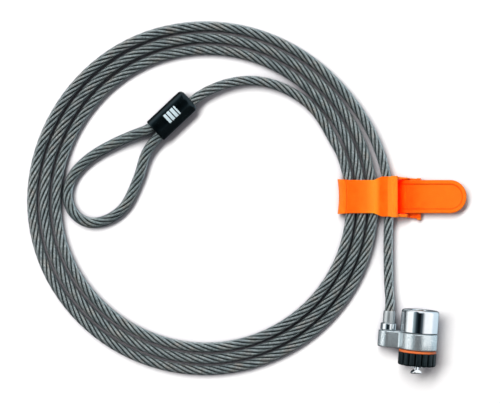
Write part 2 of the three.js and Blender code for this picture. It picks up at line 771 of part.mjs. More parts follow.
// The link's outline, big round end at the origin. Its arm is a bar as thick as the small
// round end. The bar's underside is the common tangent of both ends, which rests on the
// table, and its level top meets the big end in a fillet.
function linkOutline() {
  const under = TURN / 4 + linkRoll;
  const over = under + TURN / 2;
  const filletReach = LINK_BIG_RADIUS + LINK_FILLET;
  const filletRise = 2 * LINK_SMALL_RADIUS - LINK_BIG_RADIUS + LINK_FILLET;
  const lift = Math.asin(filletRise / filletReach);
  const [filletX, filletY] = around(filletReach, TURN / 2 + linkRoll + lift);
  const shape = new THREE.Shape();
  shape.absarc(0, 0, LINK_BIG_RADIUS, linkRoll + lift - TURN / 2, under, false);
  shape.absarc(-LINK_CENTRES, 0, LINK_SMALL_RADIUS, under, over, false);
  shape.absarc(filletX, filletY, LINK_FILLET, under, linkRoll + lift, true);
  return shape;
}

function anchorLink() {
  const blank = bevelledPrism(linkOutline(), linkBottom, 0, 0.5, 12);
  const atSmallEnd = (geometry) => geometry.translate(-LINK_CENTRES, 0, 0);
  return part('anchor_link', cut(
    blank,
    shaft(NOSE_RADIUS + GAP, linkBottom - 1, 1),
    shaft(BODY_RADIUS + 0.1, linkBottom - 1, linkBottom + 1.6),
    atSmallEnd(shaft(SHANK_RADIUS + GAP, linkBottom - 1, 1, 24)),
    atSmallEnd(shaft(4.2, linkBottom - 1, linkBottom + 1.7, 24)),
  ), castZinc);
}

function linkRetainer() {
  return part('link_retainer',
    ring(NOSE_RADIUS + 0.15, BODY_RADIUS - 0.2, linkBottom + 0.15, linkBottom + 1.3), springSteel);
}

function slipRing() {
  return part('slip_ring', ring(7.5, SLIP_RING_RADIUS, slipBottom, slipTop, 0.25), orangeRing);
}

// The thumb ring's grip: rounded ribs parted by narrow grooves.
function ribOutline() {
  const shape = new THREE.Shape();
  const ribAngle = TURN / RIB_COUNT;
  for (let rib = 0; rib < RIB_COUNT; rib += 1) {
    const corners = [
      [THUMB_RING_RADIUS - RIB_DEPTH, -0.4],
      [THUMB_RING_RADIUS - 0.25, -0.32],
      [THUMB_RING_RADIUS, -0.15],
      [THUMB_RING_RADIUS, 0.15],
      [THUMB_RING_RADIUS - 0.25, 0.32],
      [THUMB_RING_RADIUS - RIB_DEPTH, 0.4],
    ];
    corners.forEach(([radius, share], i) => {
      const [x, y] = around(radius, (rib + share) * ribAngle);
      if (rib === 0 && i === 0) shape.moveTo(x, y);
      else shape.lineTo(x, y);
    });
  }
  return shape;
}

function thumbRing() {
  const grip = bevelledPrism(ribOutline(), thumbBottom, thumbTop, 0.4, 1, 1);
  const hub = shaft(7.2, thumbTop - 1, slipTop - 0.1);
  const threadBore = shaft(TAIL_RADIUS + GAP, thumbBottom - 1, thumbTop + 2);
  const noseRelief = shaft(NOSE_RADIUS + GAP, noseEndZ - GAP, thumbTop + 3);
  return part('thumb_ring', cut(join(grip, hub), threadBore, noseRelief), blackMoulding);
}

// ---------- cable swivel ----------

function cableFerrule() {
  const bore = ROPE_RADIUS + 0.25;
  const boreFloor = ferruleBase + 0.6;
  const profile = [
    [0, linkBottom + 0.2],
    [SHANK_RADIUS, linkBottom + 0.2],
    [SHANK_RADIUS, ferruleBase],
    [FERRULE_RADIUS, ferruleBase],
    [FERRULE_RADIUS, ferruleTop - 0.3],
    [FERRULE_RADIUS - 0.3, ferruleTop],
    [bore, ferruleTop],
    [bore, boreFloor],
    [0, boreFloor],
  ];
  return part('cable_ferrule', turned(profile, 24), brushedSteel);
}

function swivelCollar() {
  return part('swivel_collar',
    ring(SHANK_RADIUS + GAP, COLLAR_RADIUS, GAP, GAP + COLLAR_LENGTH, 0.4, 28), chrome);
}

function swivelRetainer() {
  return part('swivel_retainer',
    ring(SHANK_RADIUS + 0.15, 3.9, linkBottom + 0.2, linkBottom + 1.4, 0.2, 24), springSteel);
}

function swivelGroup() {
  const group = new THREE.Group();
  group.position.x = -LINK_CENTRES;
  group.add(cableFerrule(), swivelCollar(), swivelRetainer());
  return group;
}

// The head lies on its side: its axis is level, turned by the tilt, and the link rolls about
// it until both of its round ends touch the table.
function lockHead() {
  const rolled = new THREE.Group();
  rolled.rotation.z = -linkRoll;
  rolled.add(
    barrelShell(), lockBody(), keywayCollar(), keyPlug(), tBar(), guidePin(1), guidePin(2),
    ...tumblers(driverPin), ...tumblers(keyPin), ...tumblers(pinSpring),
    anchorLink(), linkRetainer(), slipRing(), thumbRing(), swivelGroup(),
  );
  const level = new THREE.Group();
  level.rotation.x = -Math.PI / 2;
  level.add(rolled);
  const turnedHead = new THREE.Group();
  turnedHead.position.set(HEAD_SEAM.x, HEAD_SEAM.y, LINK_BIG_RADIUS);
  turnedHead.rotation.z = -HEAD_TILT;
  turnedHead.add(level);
  return turnedHead;
}

// ---------- assembly ----------

const cableLock = new THREE.Group();
cableLock.add(
  wireRope(), cableSheath(), eyeSheath(), eyeGroup(), strapBand(), strapTongue(), lockHead(),
);

// Puts the origin at the bottom centre of the bounding box.
const box = new THREE.Box3().setFromObject(cableLock, true);
const middle = box.getCenter(new THREE.Vector3());
cableLock.position.set(-middle.x, -middle.y, -box.min.z);

export default cableLock;
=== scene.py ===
"""The looks of a laptop cable lock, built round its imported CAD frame.

Blender works in metres, +Z up. Pieces are drawn in millimetres in a local frame taken from
the CAD, such as the lock head's axis, and are then placed in the world.
"""

import json
import math

import bmesh
import bpy
import numpy as np
from mathutils import Matrix, Vector


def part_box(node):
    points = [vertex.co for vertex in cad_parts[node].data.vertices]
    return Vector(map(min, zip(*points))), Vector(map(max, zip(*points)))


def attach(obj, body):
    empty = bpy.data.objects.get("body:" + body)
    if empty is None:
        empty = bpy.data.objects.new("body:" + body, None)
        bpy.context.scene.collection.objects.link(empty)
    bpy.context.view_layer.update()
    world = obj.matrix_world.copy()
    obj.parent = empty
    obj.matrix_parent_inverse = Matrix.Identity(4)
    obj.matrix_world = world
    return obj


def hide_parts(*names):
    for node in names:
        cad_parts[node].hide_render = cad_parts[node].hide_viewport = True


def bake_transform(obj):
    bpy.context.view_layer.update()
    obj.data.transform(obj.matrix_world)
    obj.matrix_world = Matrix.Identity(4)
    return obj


MM = 0.001
TURN = 2 * math.pi

# ---------- driving dimensions, in millimetres ----------

# Rope and coat
STRAND_COUNT = 6
STRAND_ARC = 120  # degrees of each strand's outline shown on either side of its crown
STRAND_POINTS = 9
ROPE_RADIUS = 2.56
ROPE_LAY = 32.4
ROPE_STEP = 1.05
WIRE_LINES = 30
COAT_WALL = 0.15
COAT_SIDES = 28
COAT_EVERY = 2

# Eye sleeve and its printed panel
SLEEVE_EDGES = (0.5, 2.3)
SLEEVE_WALL = 0.55
SLEEVE_BORE = 6.1
SLEEVE_LANE = -2.4
THROAT_DEPTH = 1.8
CRIMP_GAP = 0.3
PANEL_HALF = (3.9, 2.7)
BARS_PER_MM = 0.42
BAR_GAP = 0.26  # share of each bar's pitch

# Turned parts
ROUND = 144
BARREL_WALL = 1.3
BARREL_RIM = 1.5
FERRULE_BORE = 2.58
FERRULE_TAPER = 1.6

# Link
LINK_EDGE = 0.7
LINK_FILLET = 1.2
NOSE_POCKET = 1.6
SHANK_BORE = 2.7
SHANK_POCKET = (4.2, 1.7)  # radius, depth

# Thumb ring
RIB_COUNT = 17
RIB_DEPTH = 1.25
RIB_POINTS = 18
HUB_RADIUS = 7.2
NOSE_BORE = 6.5

# T-bar
BAR_THICKNESS = 2
BAR_BEVEL = 0.9

# Strap
STRAP_VOXEL = 0.24
CREASE_AT = 4.3
CREASE_DEPTH = 0.3
RIDGE_WIDTH = 3.6
BUCKLE_GAP = 0.12
RIM_WIDTH = 2.3
RECESS_DEPTH = 0.42
TONGUE_EDGE = 0.55
BAND_LOW = 0.55

# Camera, floor and light
CAMERA_HEIGHT = 800
CAMERA_SHIFT = (1.9, -1.76)
VIEW_WIDTH = 265
VIEW_LEVEL = 2.75
SENSOR = 36
FLOOR_SIZE = 4000
KEY_FROM = (-0.42, 0.38, 1.0)
KEY_DISTANCE = 2600
KEY_SIZE = (2800, 800)
KEY_LIGHT = 88
KEY_COLOUR = (1.0, 0.99, 0.97)
SOFT_LIGHT = 0.2
KICKER_SPREAD = 4.5
KICKER_HEIGHT = 300
KICKER_REACH = 6
KICKER_LIGHT = 5.0
KICKER_COLOUR = (1.0, 0.07, 0.0)

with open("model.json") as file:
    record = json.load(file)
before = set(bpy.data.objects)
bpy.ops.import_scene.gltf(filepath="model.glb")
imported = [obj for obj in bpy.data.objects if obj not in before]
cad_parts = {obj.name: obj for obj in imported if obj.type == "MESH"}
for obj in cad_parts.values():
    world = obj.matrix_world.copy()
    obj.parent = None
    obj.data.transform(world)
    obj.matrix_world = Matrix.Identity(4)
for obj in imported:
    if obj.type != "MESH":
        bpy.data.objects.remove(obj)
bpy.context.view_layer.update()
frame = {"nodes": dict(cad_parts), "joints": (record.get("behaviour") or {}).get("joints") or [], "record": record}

# ---------- places taken from the frame ----------


def joint(name):
    return next(j for j in frame["joints"] if j["name"] == name)


def place_on(origin, axis, towards):
    """A frame in millimetres at the origin, its Z along the axis and its X towards a direction."""
    z = axis.normalized()
    y = z.cross(towards).normalized()
    x = y.cross(z)
    turn = Matrix((x, y, z)).transposed().to_4x4()
    return Matrix.Translation(origin) @ turn @ Matrix.Scale(MM, 4)


def points_in(mesh, place):
    """A mesh's corners in a local frame."""
    inverse = place.inverted()
    return np.array([inverse @ v.co for v in mesh.vertices])


def local_points(node, place):
    return points_in(frame["nodes"][node].data, place)


def reach(node, place):
    """A round node's outer radius and its two ends along the frame's axis."""
    points = local_points(node, place)
    return np.hypot(points[:, 0], points[:, 1]).max(), points[:, 2].min(), points[:, 2].max()


def box_mm(node):
    lo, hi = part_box(node)
    return lo / MM, hi / MM


WORLD = Matrix.Scale(MM, 4)
head_axis = Vector(joint("head_swivel")["axis"])
head_seam = Vector(joint("head_swivel")["pos_m"])
swivel_seam = Vector(joint("cable_swivel")["pos_m"])
across_link = head_seam - swivel_seam
HEAD = place_on(head_seam, head_axis, across_link)
SWIVEL = place_on(swivel_seam, head_axis, across_link)

# ---------- mesh helpers ----------


def put_in_scene(name, data):
    obj = bpy.data.objects.new(name, data)
    bpy.context.scene.collection.objects.link(obj)
    return obj


def new_object(name, verts, faces, place=WORLD):
    mesh = bpy.data.meshes.new(name)
    mesh.from_pydata([tuple(v) for v in verts], [], [tuple(f) for f in faces])
    mesh.transform(place)
    work = bmesh.new()
    work.from_mesh(mesh)
    bmesh.ops.remove_doubles(work, verts=work.verts, dist=1e-7)
    bmesh.ops.dissolve_degenerate(work, edges=work.edges, dist=1e-7)
    bmesh.ops.recalc_face_normals(work, faces=work.faces)
    work.to_mesh(mesh)
    work.free()
    return put_in_scene(name, mesh)


def apply_modifiers(obj):
    bpy.context.view_layer.update()
    depsgraph = bpy.context.evaluated_depsgraph_get()
    finished = bpy.data.meshes.new_from_object(obj.evaluated_get(depsgraph))
    obj.modifiers.clear()
    obj.data = finished


def combine(obj, operation, others):
    """Cuts the other objects from obj, or joins them to it, and removes them."""
    for other in others:
        step = obj.modifiers.new(operation, "BOOLEAN")
        step.operation = operation
        step.solver = "EXACT"
        step.object = other
    apply_modifiers(obj)
    for other in others:
        bpy.data.objects.remove(other)


def smooth_shade(mesh, angle):
    """Shades a mesh smooth, but for edges sharper than the angle."""
    mesh.polygons.foreach_set("use_smooth", [True] * len(mesh.polygons))
    mesh.set_sharp_from_angle(angle=math.radians(angle))


def finish_piece(obj, slot, body, stands_for, angle=35):
    """Gives a piece its material and ties it to its CAD body, in place of a CAD node."""
    obj.data.materials.clear()
    obj.data.materials.append(MATERIALS[slot])
    smooth_shade(obj.data, angle)
    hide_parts(stands_for)
    if body:
        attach(obj, body)


def rounded(corners, radius, steps=5):
    """A closed outline with soft corners. The radius is one number, or one for each corner."""
    count = len(corners)
    radii = radius if isinstance(radius, (list, tuple)) else [radius] * count
    outline = []
    for i, corner in enumerate(corners):
        p = np.array(corner, float)
        before = np.array(corners[i - 1], float) - p
        after = np.array(corners[(i + 1) % count], float) - p
        if radii[i] == 0:
            outline.append(tuple(p))
            continue
        trim = min(radii[i], 0.48 * np.linalg.norm(before), 0.48 * np.linalg.norm(after))
        a = p + before / np.linalg.norm(before) * trim
        b = p + after / np.linalg.norm(after) * trim
        for t in np.linspace(0, 1, steps):
            outline.append(tuple((1 - t) ** 2 * a + 2 * t * (1 - t) * p + t ** 2 * b))
    return outline


def turned(name, profile, place, segments=ROUND):
    """A solid of revolution about Z from a closed profile of (radius, z)."""
    count = len(profile)
    verts, faces = [], []
    for i in range(segments):
        angle = TURN * i / segments
        verts += [(r * math.cos(angle), r * math.sin(angle), z) for r, z in profile]
        here, there = i * count, (i + 1) % segments * count
        for j in range(count):
            k = (j + 1) % count
            faces.append((here + j, there + j, there + k, here + k))
    return new_object(name, verts, faces, place)


def lofted(name, rings, place):
    """A closed solid through rings of equal counts, capped at both ends."""
    count = len(rings[0])
    verts = [point for ring in rings for point in ring]
    faces = [tuple(range(count))[::-1], tuple(range(len(verts) - count, len(verts)))]
    for i in range(len(rings) - 1):
        here, there = i * count, (i + 1) * count
        for j in range(count):
            k = (j + 1) % count
            faces.append((here + j, here + k, there + k, there + j))
    return new_object(name, verts, faces, place)


def extruded(name, outline, half_width, centre_y):
    """A side-view outline of (x, z), extruded across the strap."""
    rings = [[(x, centre_y + side * half_width, z) for x, z in outline] for side in (-1, 1)]
    return lofted(name, rings, WORLD)


def block(name, low, high):
    (x0, y0, z0), (x1, y1, z1) = low, high
    ring = [(x0, y0), (x1, y0), (x1, y1), (x0, y1)]
    return lofted(name, [[(x, y, z) for x, y in ring] for z in (z0, z1)], WORLD)


def edge_levels(z0, z1, radius0, radius1, steps=5):
    """(z, inset) pairs that round off both ends of an upright side."""
    quarter = np.linspace(0, math.pi / 2, steps)
    low = [(z0 + radius0 * (1 - math.sin(t)), radius0 * (1 - math.cos(t))) for t in quarter[::-1]]
    high = [(z1 - radius1 * (1 - math.sin(t)), radius1 * (1 - math.cos(t))) for t in quarter]
    return low + high


def join_shells(obj, others):
    """Puts the other objects' shells into obj's mesh, without a boolean."""
    work = bmesh.new()
    for source in (obj, *others):
        work.from_mesh(source.data)
    bmesh.ops.remove_doubles(work, verts=work.verts, dist=1e-7)
    work.to_mesh(obj.data)
    work.free()
    for other in others:
        bpy.data.objects.remove(other)


def close_ends(obj):
    """Caps whatever holes a skin has left."""
    work = bmesh.new()
    work.from_mesh(obj.data)
    bmesh.ops.remove_doubles(work, verts=work.verts, dist=2e-6)
    bmesh.ops.holes_fill(work, edges=work.edges, sides=0)
    bmesh.ops.recalc_face_normals(work, faces=work.faces)
    work.to_mesh(obj.data)
    work.free()


def soften(obj, voxel, rounds):
    """Remeshes a moulding into one skin and rounds its edges."""
    remesh = obj.modifiers.new("skin", "REMESH")
    remesh.mode = "VOXEL"
    remesh.voxel_size = voxel * MM
    melt = obj.modifiers.new("melt", "SMOOTH")
    melt.factor = 0.5
    melt.iterations = rounds
    apply_modifiers(obj)


# ---------- node helpers ----------


def add(tree, kind, inputs=None, **settings):
    made = tree.nodes.new("ShaderNode" + kind)
    for key, value in settings.items():
        setattr(made, key, value)
    for key, value in (inputs or {}).items():
        if isinstance(value, bpy.types.NodeSocket):
            tree.links.new(value, made.inputs[key])
        else:
            made.inputs[key].default_value = value
    return made


def ramp(tree, factor, stops):
    """A colour ramp over (position, colour) stops. A plain number makes a grey."""
    made = add(tree, "ValToRGB", {"Fac": factor})
    points = made.color_ramp.elements
    while len(points) < len(stops):
        points.new(1.0)
    for point, (place, colour) in zip(points, stops):
        point.position = place
        point.color = (*colour, 1) if isinstance(colour, tuple) else (colour, colour, colour, 1)
    return made.outputs["Color"]


def math_node(tree, operation, a, b=0.0):
    return add(tree, "Math", {0: a, 1: b}, operation=operation).outputs[0]


def halfway(tree, a, b):
    """The mean of two values."""
    return math_node(tree, "MULTIPLY", math_node(tree, "ADD", a, b), 0.5)


def mix(tree, factor, a, b, blend="MIX"):
    made = add(tree, "Mix", data_type="RGBA", blend_type=blend)
    for index, value in ((0, factor), (6, a), (7, b)):
        if isinstance(value, bpy.types.NodeSocket):
            tree.links.new(value, made.inputs[index])
        elif index == 0:
            made.inputs[index].default_value = value
        else:
            made.inputs[index].default_value = (*value, 1)
    return made.outputs[2]


def position(tree):
    """Where a point is, in metres in the piece's own frame."""
    return add(tree, "TexCoord").outputs["Object"]


def noise(tree, scale, detail=3.0, roughness=0.55, vector=None):
    """Noise with features about 1 / scale metres across."""
    inputs = {"Scale": scale, "Detail": detail, "Roughness": roughness}
    inputs["Vector"] = vector or position(tree)
    return add(tree, "TexNoise", inputs).outputs["Fac"]


def attribute(tree, name):
    return add(tree, "Attribute", attribute_name=name).outputs["Fac"]


def material(name):
    made = bpy.data.materials.new(name)
    made.use_nodes = True
    tree = made.node_tree
    return made, tree, tree.nodes["Principled BSDF"]


def drive(tree, shader, **values):
    """Sets or links the shader's inputs; a name's underscores stand for spaces."""
    for key, value in values.items():
        socket = shader.inputs[key.replace("_", " ")]
        if isinstance(value, bpy.types.NodeSocket):
            tree.links.new(value, socket)
        else:
            socket.default_value = (*value, 1) if isinstance(value, tuple) else value


def bump(tree, height, strength, depth):
    """A bump of the given depth, in millimetres."""
    inputs = {"Height": height, "Strength": strength, "Distance": depth * MM}
    return add(tree, "Bump", inputs).outputs["Normal"]


# ---------- materials ----------


def rope_steel():
    """Stranded wire, with painted shade in its grooves and where its turns lie side by side."""
    made, tree, shader = material("rope_steel")
    groove = attribute(tree, "groove")
    turns = math_node(tree, "MULTIPLY", attribute(tree, "around"), WIRE_LINES)
    wires = math_node(tree, "SINE", turns)
    patches = noise(tree, 160, 4)
    tint = ramp(tree, patches, [(0.3, (0.31, 0.375, 0.39)), (0.5, (0.46, 0.53, 0.54)),
                                (0.74, (0.53, 0.50, 0.46))])
    grain = ramp(tree, noise(tree, 1100, 2), [(0.35, 0.62), (0.65, 1.2)])
    tint = mix(tree, 1.0, tint, grain, "MULTIPLY")
    # painted shade: the deeper a point lies in a groove between strands, the darker its colour
    shade = ramp(tree, groove, [(0.0, 1.0), (0.25, 0.8), (0.55, 0.24), (0.85, 0.02)])
    colour = mix(tree, 1.0, tint, shade, "MULTIPLY")
    seams = ramp(tree, halfway(tree, wires, 1.0), [(0.0, 0.55), (0.35, 1.0)])
    colour = mix(tree, 1.0, colour, seams, "MULTIPLY")
    # painted shade between turns: an ambient occlusion node darkens the colour where the rope faces nearby rope
    openness = add(tree, "AmbientOcclusion", {"Distance": 5 * MM}, samples=8, only_local=True)
    painted_gap_shade = ramp(tree, openness.outputs["AO"], [(0.1, 0.02), (0.5, 0.42), (0.78, 1.15)])
    colour = mix(tree, 1.0, colour, painted_gap_shade, "MULTIPLY")
    rough = ramp(tree, noise(tree, 900, 2), [(0.3, 0.26), (0.7, 0.4)])
    height = math_node(tree, "ADD", wires, noise(tree, 2500, 2))
    drive(tree, shader, Base_Color=colour, Metallic=0.65, Roughness=rough,
          Normal=bump(tree, height, 0.5, 0.08))
    return made


def clear_coat():
    """A clear skin that darkens towards its edges, where the view through it is longest."""
    made, tree, shader = material("clear_coat")
    tree.nodes.remove(shader)
    waves = bump(tree, noise(tree, 700, 2), 0.25, 0.05)
    gloss = add(tree, "BsdfGlossy", {"Color": (0.95, 1.0, 1.0, 1), "Roughness": 0.16,
                                     "Normal": waves})
    facing = add(tree, "LayerWeight", {"Blend": 0.5}).outputs["Facing"]
    depth = ramp(tree, facing, [(0.0, (0.98, 0.99, 0.99)), (0.6, (0.93, 0.95, 0.95)),
                                (0.85, (0.62, 0.67, 0.68)), (1.0, (0.22, 0.26, 0.28))])
    clear = add(tree, "BsdfTransparent", {"Color": depth})
    mirrored = add(tree, "Fresnel", {"IOR": 1.4, "Normal": waves}).outputs[0]
    edge = math_node(tree, "MULTIPLY", mirrored, 0.3)
    skin = add(tree, "MixShader", {0: edge, 1: clear.outputs[0], 2: gloss.outputs[0]})
    tree.links.new(skin.outputs[0], tree.nodes["Material Output"].inputs["Surface"])
    return made


def black_vinyl():
    """Gloss black, with a plain striped panel printed on its upper side."""
    made, tree, shader = material("black_vinyl")
    along, across = attribute(tree, "along"), attribute(tree, "across")

    def inside(value, half):
        return math_node(tree, "LESS_THAN", math_node(tree, "ABSOLUTE", value), half)

    half_length, half_width = PANEL_HALF
    panel = math_node(tree, "MULTIPLY", inside(along, half_length), inside(across, half_width))
    panel = math_node(tree, "MULTIPLY", panel, attribute(tree, "upper"))
    stripe = math_node(tree, "FRACT", math_node(tree, "MULTIPLY", along, BARS_PER_MM))
    bars = math_node(tree, "GREATER_THAN", stripe, BAR_GAP)
    mark = math_node(tree, "MULTIPLY", panel, bars)
    grime = noise(tree, 260, 4)
    black = ramp(tree, grime, [(0.35, (0.0008, 0.0018, 0.0022)), (0.7, (0.002, 0.0035, 0.004))])
    colour = mix(tree, mark, black, (0.52, 0.64, 0.69))
    rough = ramp(tree, noise(tree, 480, 3), [(0.3, 0.10), (0.7, 0.17)])
    rough = mix(tree, mark, rough, (0.45, 0.45, 0.45))
    drive(tree, shader, Base_Color=colour, Roughness=rough, Specular_IOR_Level=0.45,
          Specular_Tint=(0.55, 0.85, 1.0), Normal=bump(tree, noise(tree, 350, 3), 0.3, 0.08))
    return made


def orange_moulding():
    """Satin orange elastomer, redder where painted shade is marked and lighter for painted light."""
    made, tree, shader = material("orange_moulding")
    mottle = noise(tree, 220, 3)
    base = ramp(tree, mottle, [(0.3, (0.95, 0.118, 0.002)), (0.7, (1.0, 0.148, 0.004))])
    # painted light: a lighter orange where the moulding would catch more light
    colour = mix(tree, attribute(tree, "painted_light"), base, (1.0, 0.285, 0.021))
    # painted shade: a deep red where the moulding would lie in shade
    colour = mix(tree, attribute(tree, "painted_shade"), colour, (1.0, 0.04, 0.0))
    rough = ramp(tree, noise(tree, 1100, 3), [(0.3, 0.36), (0.7, 0.5)])
    drive(tree, shader, Base_Color=colour, Roughness=rough, Specular_IOR_Level=0.2,
          Subsurface_Weight=0.35, Subsurface_Scale=3 * MM,
          Normal=bump(tree, noise(tree, 2600, 3), 0.25, 0.04))
    shader.inputs["Subsurface Radius"].default_value = (1.0, 0.2, 0.05)
    return made


def orange_ring():
    made, tree, shader = material("orange_ring")
    colour = ramp(tree, noise(tree, 500, 3),
                  [(0.3, (0.66, 0.14, 0.035)), (0.7, (0.78, 0.19, 0.05))])
    rough = ramp(tree, noise(tree, 1500, 3), [(0.3, 0.34), (0.7, 0.5)])
    drive(tree, shader, Base_Color=colour, Roughness=rough,
          Normal=bump(tree, noise(tree, 2500, 3), 0.25, 0.03))
    return made


def black_moulding():
    """Satin black, with painted shade in the grooves between the ribs."""
    made, tree, shader = material("black_moulding")
    colour = ramp(tree, noise(tree, 450, 4),
                  [(0.3, (0.004, 0.007, 0.008)), (0.7, (0.009, 0.014, 0.016))])
    # painted shade: the grooves between the ribs are darkened by their depth
    colour = mix(tree, attribute(tree, "groove"), colour, (0.0005, 0.001, 0.001))
    rough = ramp(tree, noise(tree, 1300, 3), [(0.3, 0.34), (0.7, 0.52)])
    drive(tree, shader, Base_Color=colour, Roughness=rough, Specular_IOR_Level=0.38,
          Specular_Tint=(0.6, 0.88, 1.0), Normal=bump(tree, noise(tree, 3000, 3), 0.35, 0.04))
    return made


def metal(name, dark, light, roughness, grain, grain_depth, stretch=None, metallic=1.0):
    """A metal whose tone, roughness and bump follow one noise, drawn out along an axis if asked."""
    made, tree, shader = material(name)
    vector = position(tree)
    if stretch:
        vector = add(tree, "VectorMath", {0: vector, 1: stretch}, operation="MULTIPLY").outputs[0]
    pattern = ramp(tree, noise(tree, grain, 4, 0.6, vector), [(0.32, 0.0), (0.68, 1.0)])
    smudge = noise(tree, 140, 3)
    low, high = roughness
    tone = mix(tree, pattern, dark, light)
    rough = ramp(tree, halfway(tree, pattern, smudge), [(0.35, low), (0.65, high)])
    drive(tree, shader, Base_Color=tone, Metallic=metallic, Roughness=rough,
          Normal=bump(tree, pattern, 0.3, grain_depth))
    return made


def chrome():
    return metal("chrome", (0.80, 0.85, 0.88), (0.90, 0.94, 0.96), (0.03, 0.09), 90, 0.004)


def cast_zinc():
    return metal("cast_zinc", (0.46, 0.55, 0.60), (0.92, 0.99, 1.0), (0.17, 0.27), 1700, 0.07,
                 metallic=0.8)


def brushed_ferrule():
    return metal("brushed_ferrule", (0.62, 0.67, 0.69), (0.82, 0.87, 0.88), (0.36, 0.48), 2200,
                 0.02, (1.0, 0.12, 1.0), 0.85)


def crimp_metal():
    return metal("crimp_metal", (0.60, 0.61, 0.62), (0.78, 0.79, 0.80), (0.3, 0.45), 900, 0.05)


def spring_steel():
    return metal("spring_steel", (0.38, 0.40, 0.42), (0.55, 0.57, 0.59), (0.2, 0.35), 1200, 0.02)


def brass():
    return metal("brass", (0.60, 0.44, 0.18), (0.78, 0.62, 0.30), (0.22, 0.38), 1100, 0.02)


MATERIALS = {
    make.__name__: make()
    for make in (rope_steel, clear_coat, black_vinyl, orange_moulding, orange_ring,
                 black_moulding, chrome, cast_zinc, brushed_ferrule, crimp_metal, spring_steel,
                 brass)
}

# ---------- cable ----------


def ring_centres(node, start):
    """The centres of a swept CAD tube's rings, from the end nearest to start, and its radius."""
    work = bmesh.new()
    work.from_mesh(frame["nodes"][node].data)
    bmesh.ops.remove_doubles(work, verts=work.verts, dist=1e-6)
    rims = {e for e in work.edges if e.calc_face_angle(0) > math.radians(75)}
    rim_verts = {v for e in rims for v in e.verts}
    first = min(rim_verts, key=lambda v: (v.co - start).length)
    loop, frontier = {first}, [first]
    while frontier:
        frontier = [e.other_vert(v) for v in frontier for e in v.link_edges if e in rims]
        frontier = list(set(frontier) - loop)
        loop |= set(frontier)
    centre = sum((v.co for v in loop), Vector()) / len(loop)
    radius = max((v.co - centre).length for v in loop)
    ring = {v for v in rim_verts if (v.co - centre).length < 1.01 * radius}
    seen, centres = set(ring), []
    while ring:
        centres.append(sum((v.co for v in ring), Vector()) / len(ring))
        ring = {e.other_vert(v) for v in ring for e in v.link_edges} - seen
        seen |= ring
    work.free()
    return np.array(centres) / MM, radius / MM


def smooth_path(points, step):
    """Evenly spaced points along a Catmull-Rom curve through the given points."""
    padded = np.vstack([2 * points[0] - points[1], points, 2 * points[-1] - points[-2]])
    t = np.linspace(0, 1, 24, endpoint=False)[:, None]
    fine = []
    for a, b, c, d in zip(padded, padded[1:], padded[2:], padded[3:]):
        knots = np.cumsum([0, *(np.linalg.norm(q - p) ** 0.5 for p, q in ((a, b), (b, c), (c, d)))])
        u = knots[1] + t * (knots[2] - knots[1])
        ab = ((knots[1] - u) * a + (u - knots[0]) * b) / (knots[1] - knots[0])
        bc = ((knots[2] - u) * b + (u - knots[1]) * c) / (knots[2] - knots[1])
        cd = ((knots[3] - u) * c + (u - knots[2]) * d) / (knots[3] - knots[2])
        abc = ((knots[2] - u) * ab + (u - knots[0]) * bc) / (knots[2] - knots[0])
        bcd = ((knots[3] - u) * bc + (u - knots[1]) * cd) / (knots[3] - knots[1])
        fine.append(((knots[2] - u) * abc + (u - knots[1]) * bcd) / (knots[2] - knots[1]))
    fine = np.vstack([*fine, points[-1:]])
    run = np.concatenate([[0], np.cumsum(np.linalg.norm(np.diff(fine, axis=0), axis=1))])
    stops = np.linspace(0, run[-1], max(int(run[-1] / step), 2))
    return np.column_stack([np.interp(stops, run, fine[:, i]) for i in range(3)]), stops


def sideways(path):
    """Two directions square to the path at each point, carried along it without twisting."""
    tangents = np.gradient(path, axis=0)
    tangents /= np.linalg.norm(tangents, axis=1)[:, None]
    right = np.cross(tangents[0], (0, 0, 1))
    rights, ups = [], []
    for tangent in tangents:
        right = right - tangent * (right @ tangent)
        right = right / np.linalg.norm(right)
        rights.append(right)
        ups.append(np.cross(right, tangent))
    return np.array(rights), np.array(ups)


def swept_mesh(name, path, section, twist, hollow=None):
    """A closed sweep of a section of (right, up) points; hollow is the section of its bore."""
    right, up = sideways(path)
    cos, sin = np.cos(twist)[:, None], np.sin(twist)[:, None]

    def skin(outline):
        x, y = outline[:, 0][None, :], outline[:, 1][None, :]
        return (path[:, None, :] + (x * cos - y * sin)[:, :, None] * right[:, None, :]
                + (x * sin + y * cos)[:, :, None] * up[:, None, :])

    outer = skin(section)
    rings, count = outer.shape[:2]
    i, j = np.meshgrid(np.arange(rings - 1), np.arange(count), indexing="ij")
    k = (j + 1) % count

    def walls(offset):
        here, there = i * count, (i + 1) * count
        quads = np.stack([here + j, here + k, there + k, there + j], -1)
        return quads.reshape(-1, 4) + offset

    verts, faces = outer.reshape(-1, 3), walls(0).tolist()
    last = (rings - 1) * count
    if hollow is None:
        faces += [list(range(count))[::-1], list(range(last, last + count))]
    else:
        inner = rings * count
        verts = np.vstack([verts, skin(hollow).reshape(-1, 3)])
        faces += walls(inner)[:, ::-1].tolist()
        for edge in range(count):
            after = (edge + 1) % count
            faces.append([after, edge, inner + edge, inner + after])
            faces.append([last + edge, last + after, inner + last + after, inner + last + edge])
    mesh = bpy.data.meshes.new(name)
    mesh.from_pydata((verts * MM).tolist(), [], faces)
    mesh.update()
    return put_in_scene(name, mesh)


def set_attribute(obj, name, values):
    layer = obj.data.attributes.new(name, "FLOAT", "POINT")
    layer.data.foreach_set("value", np.asarray(values, np.float32))


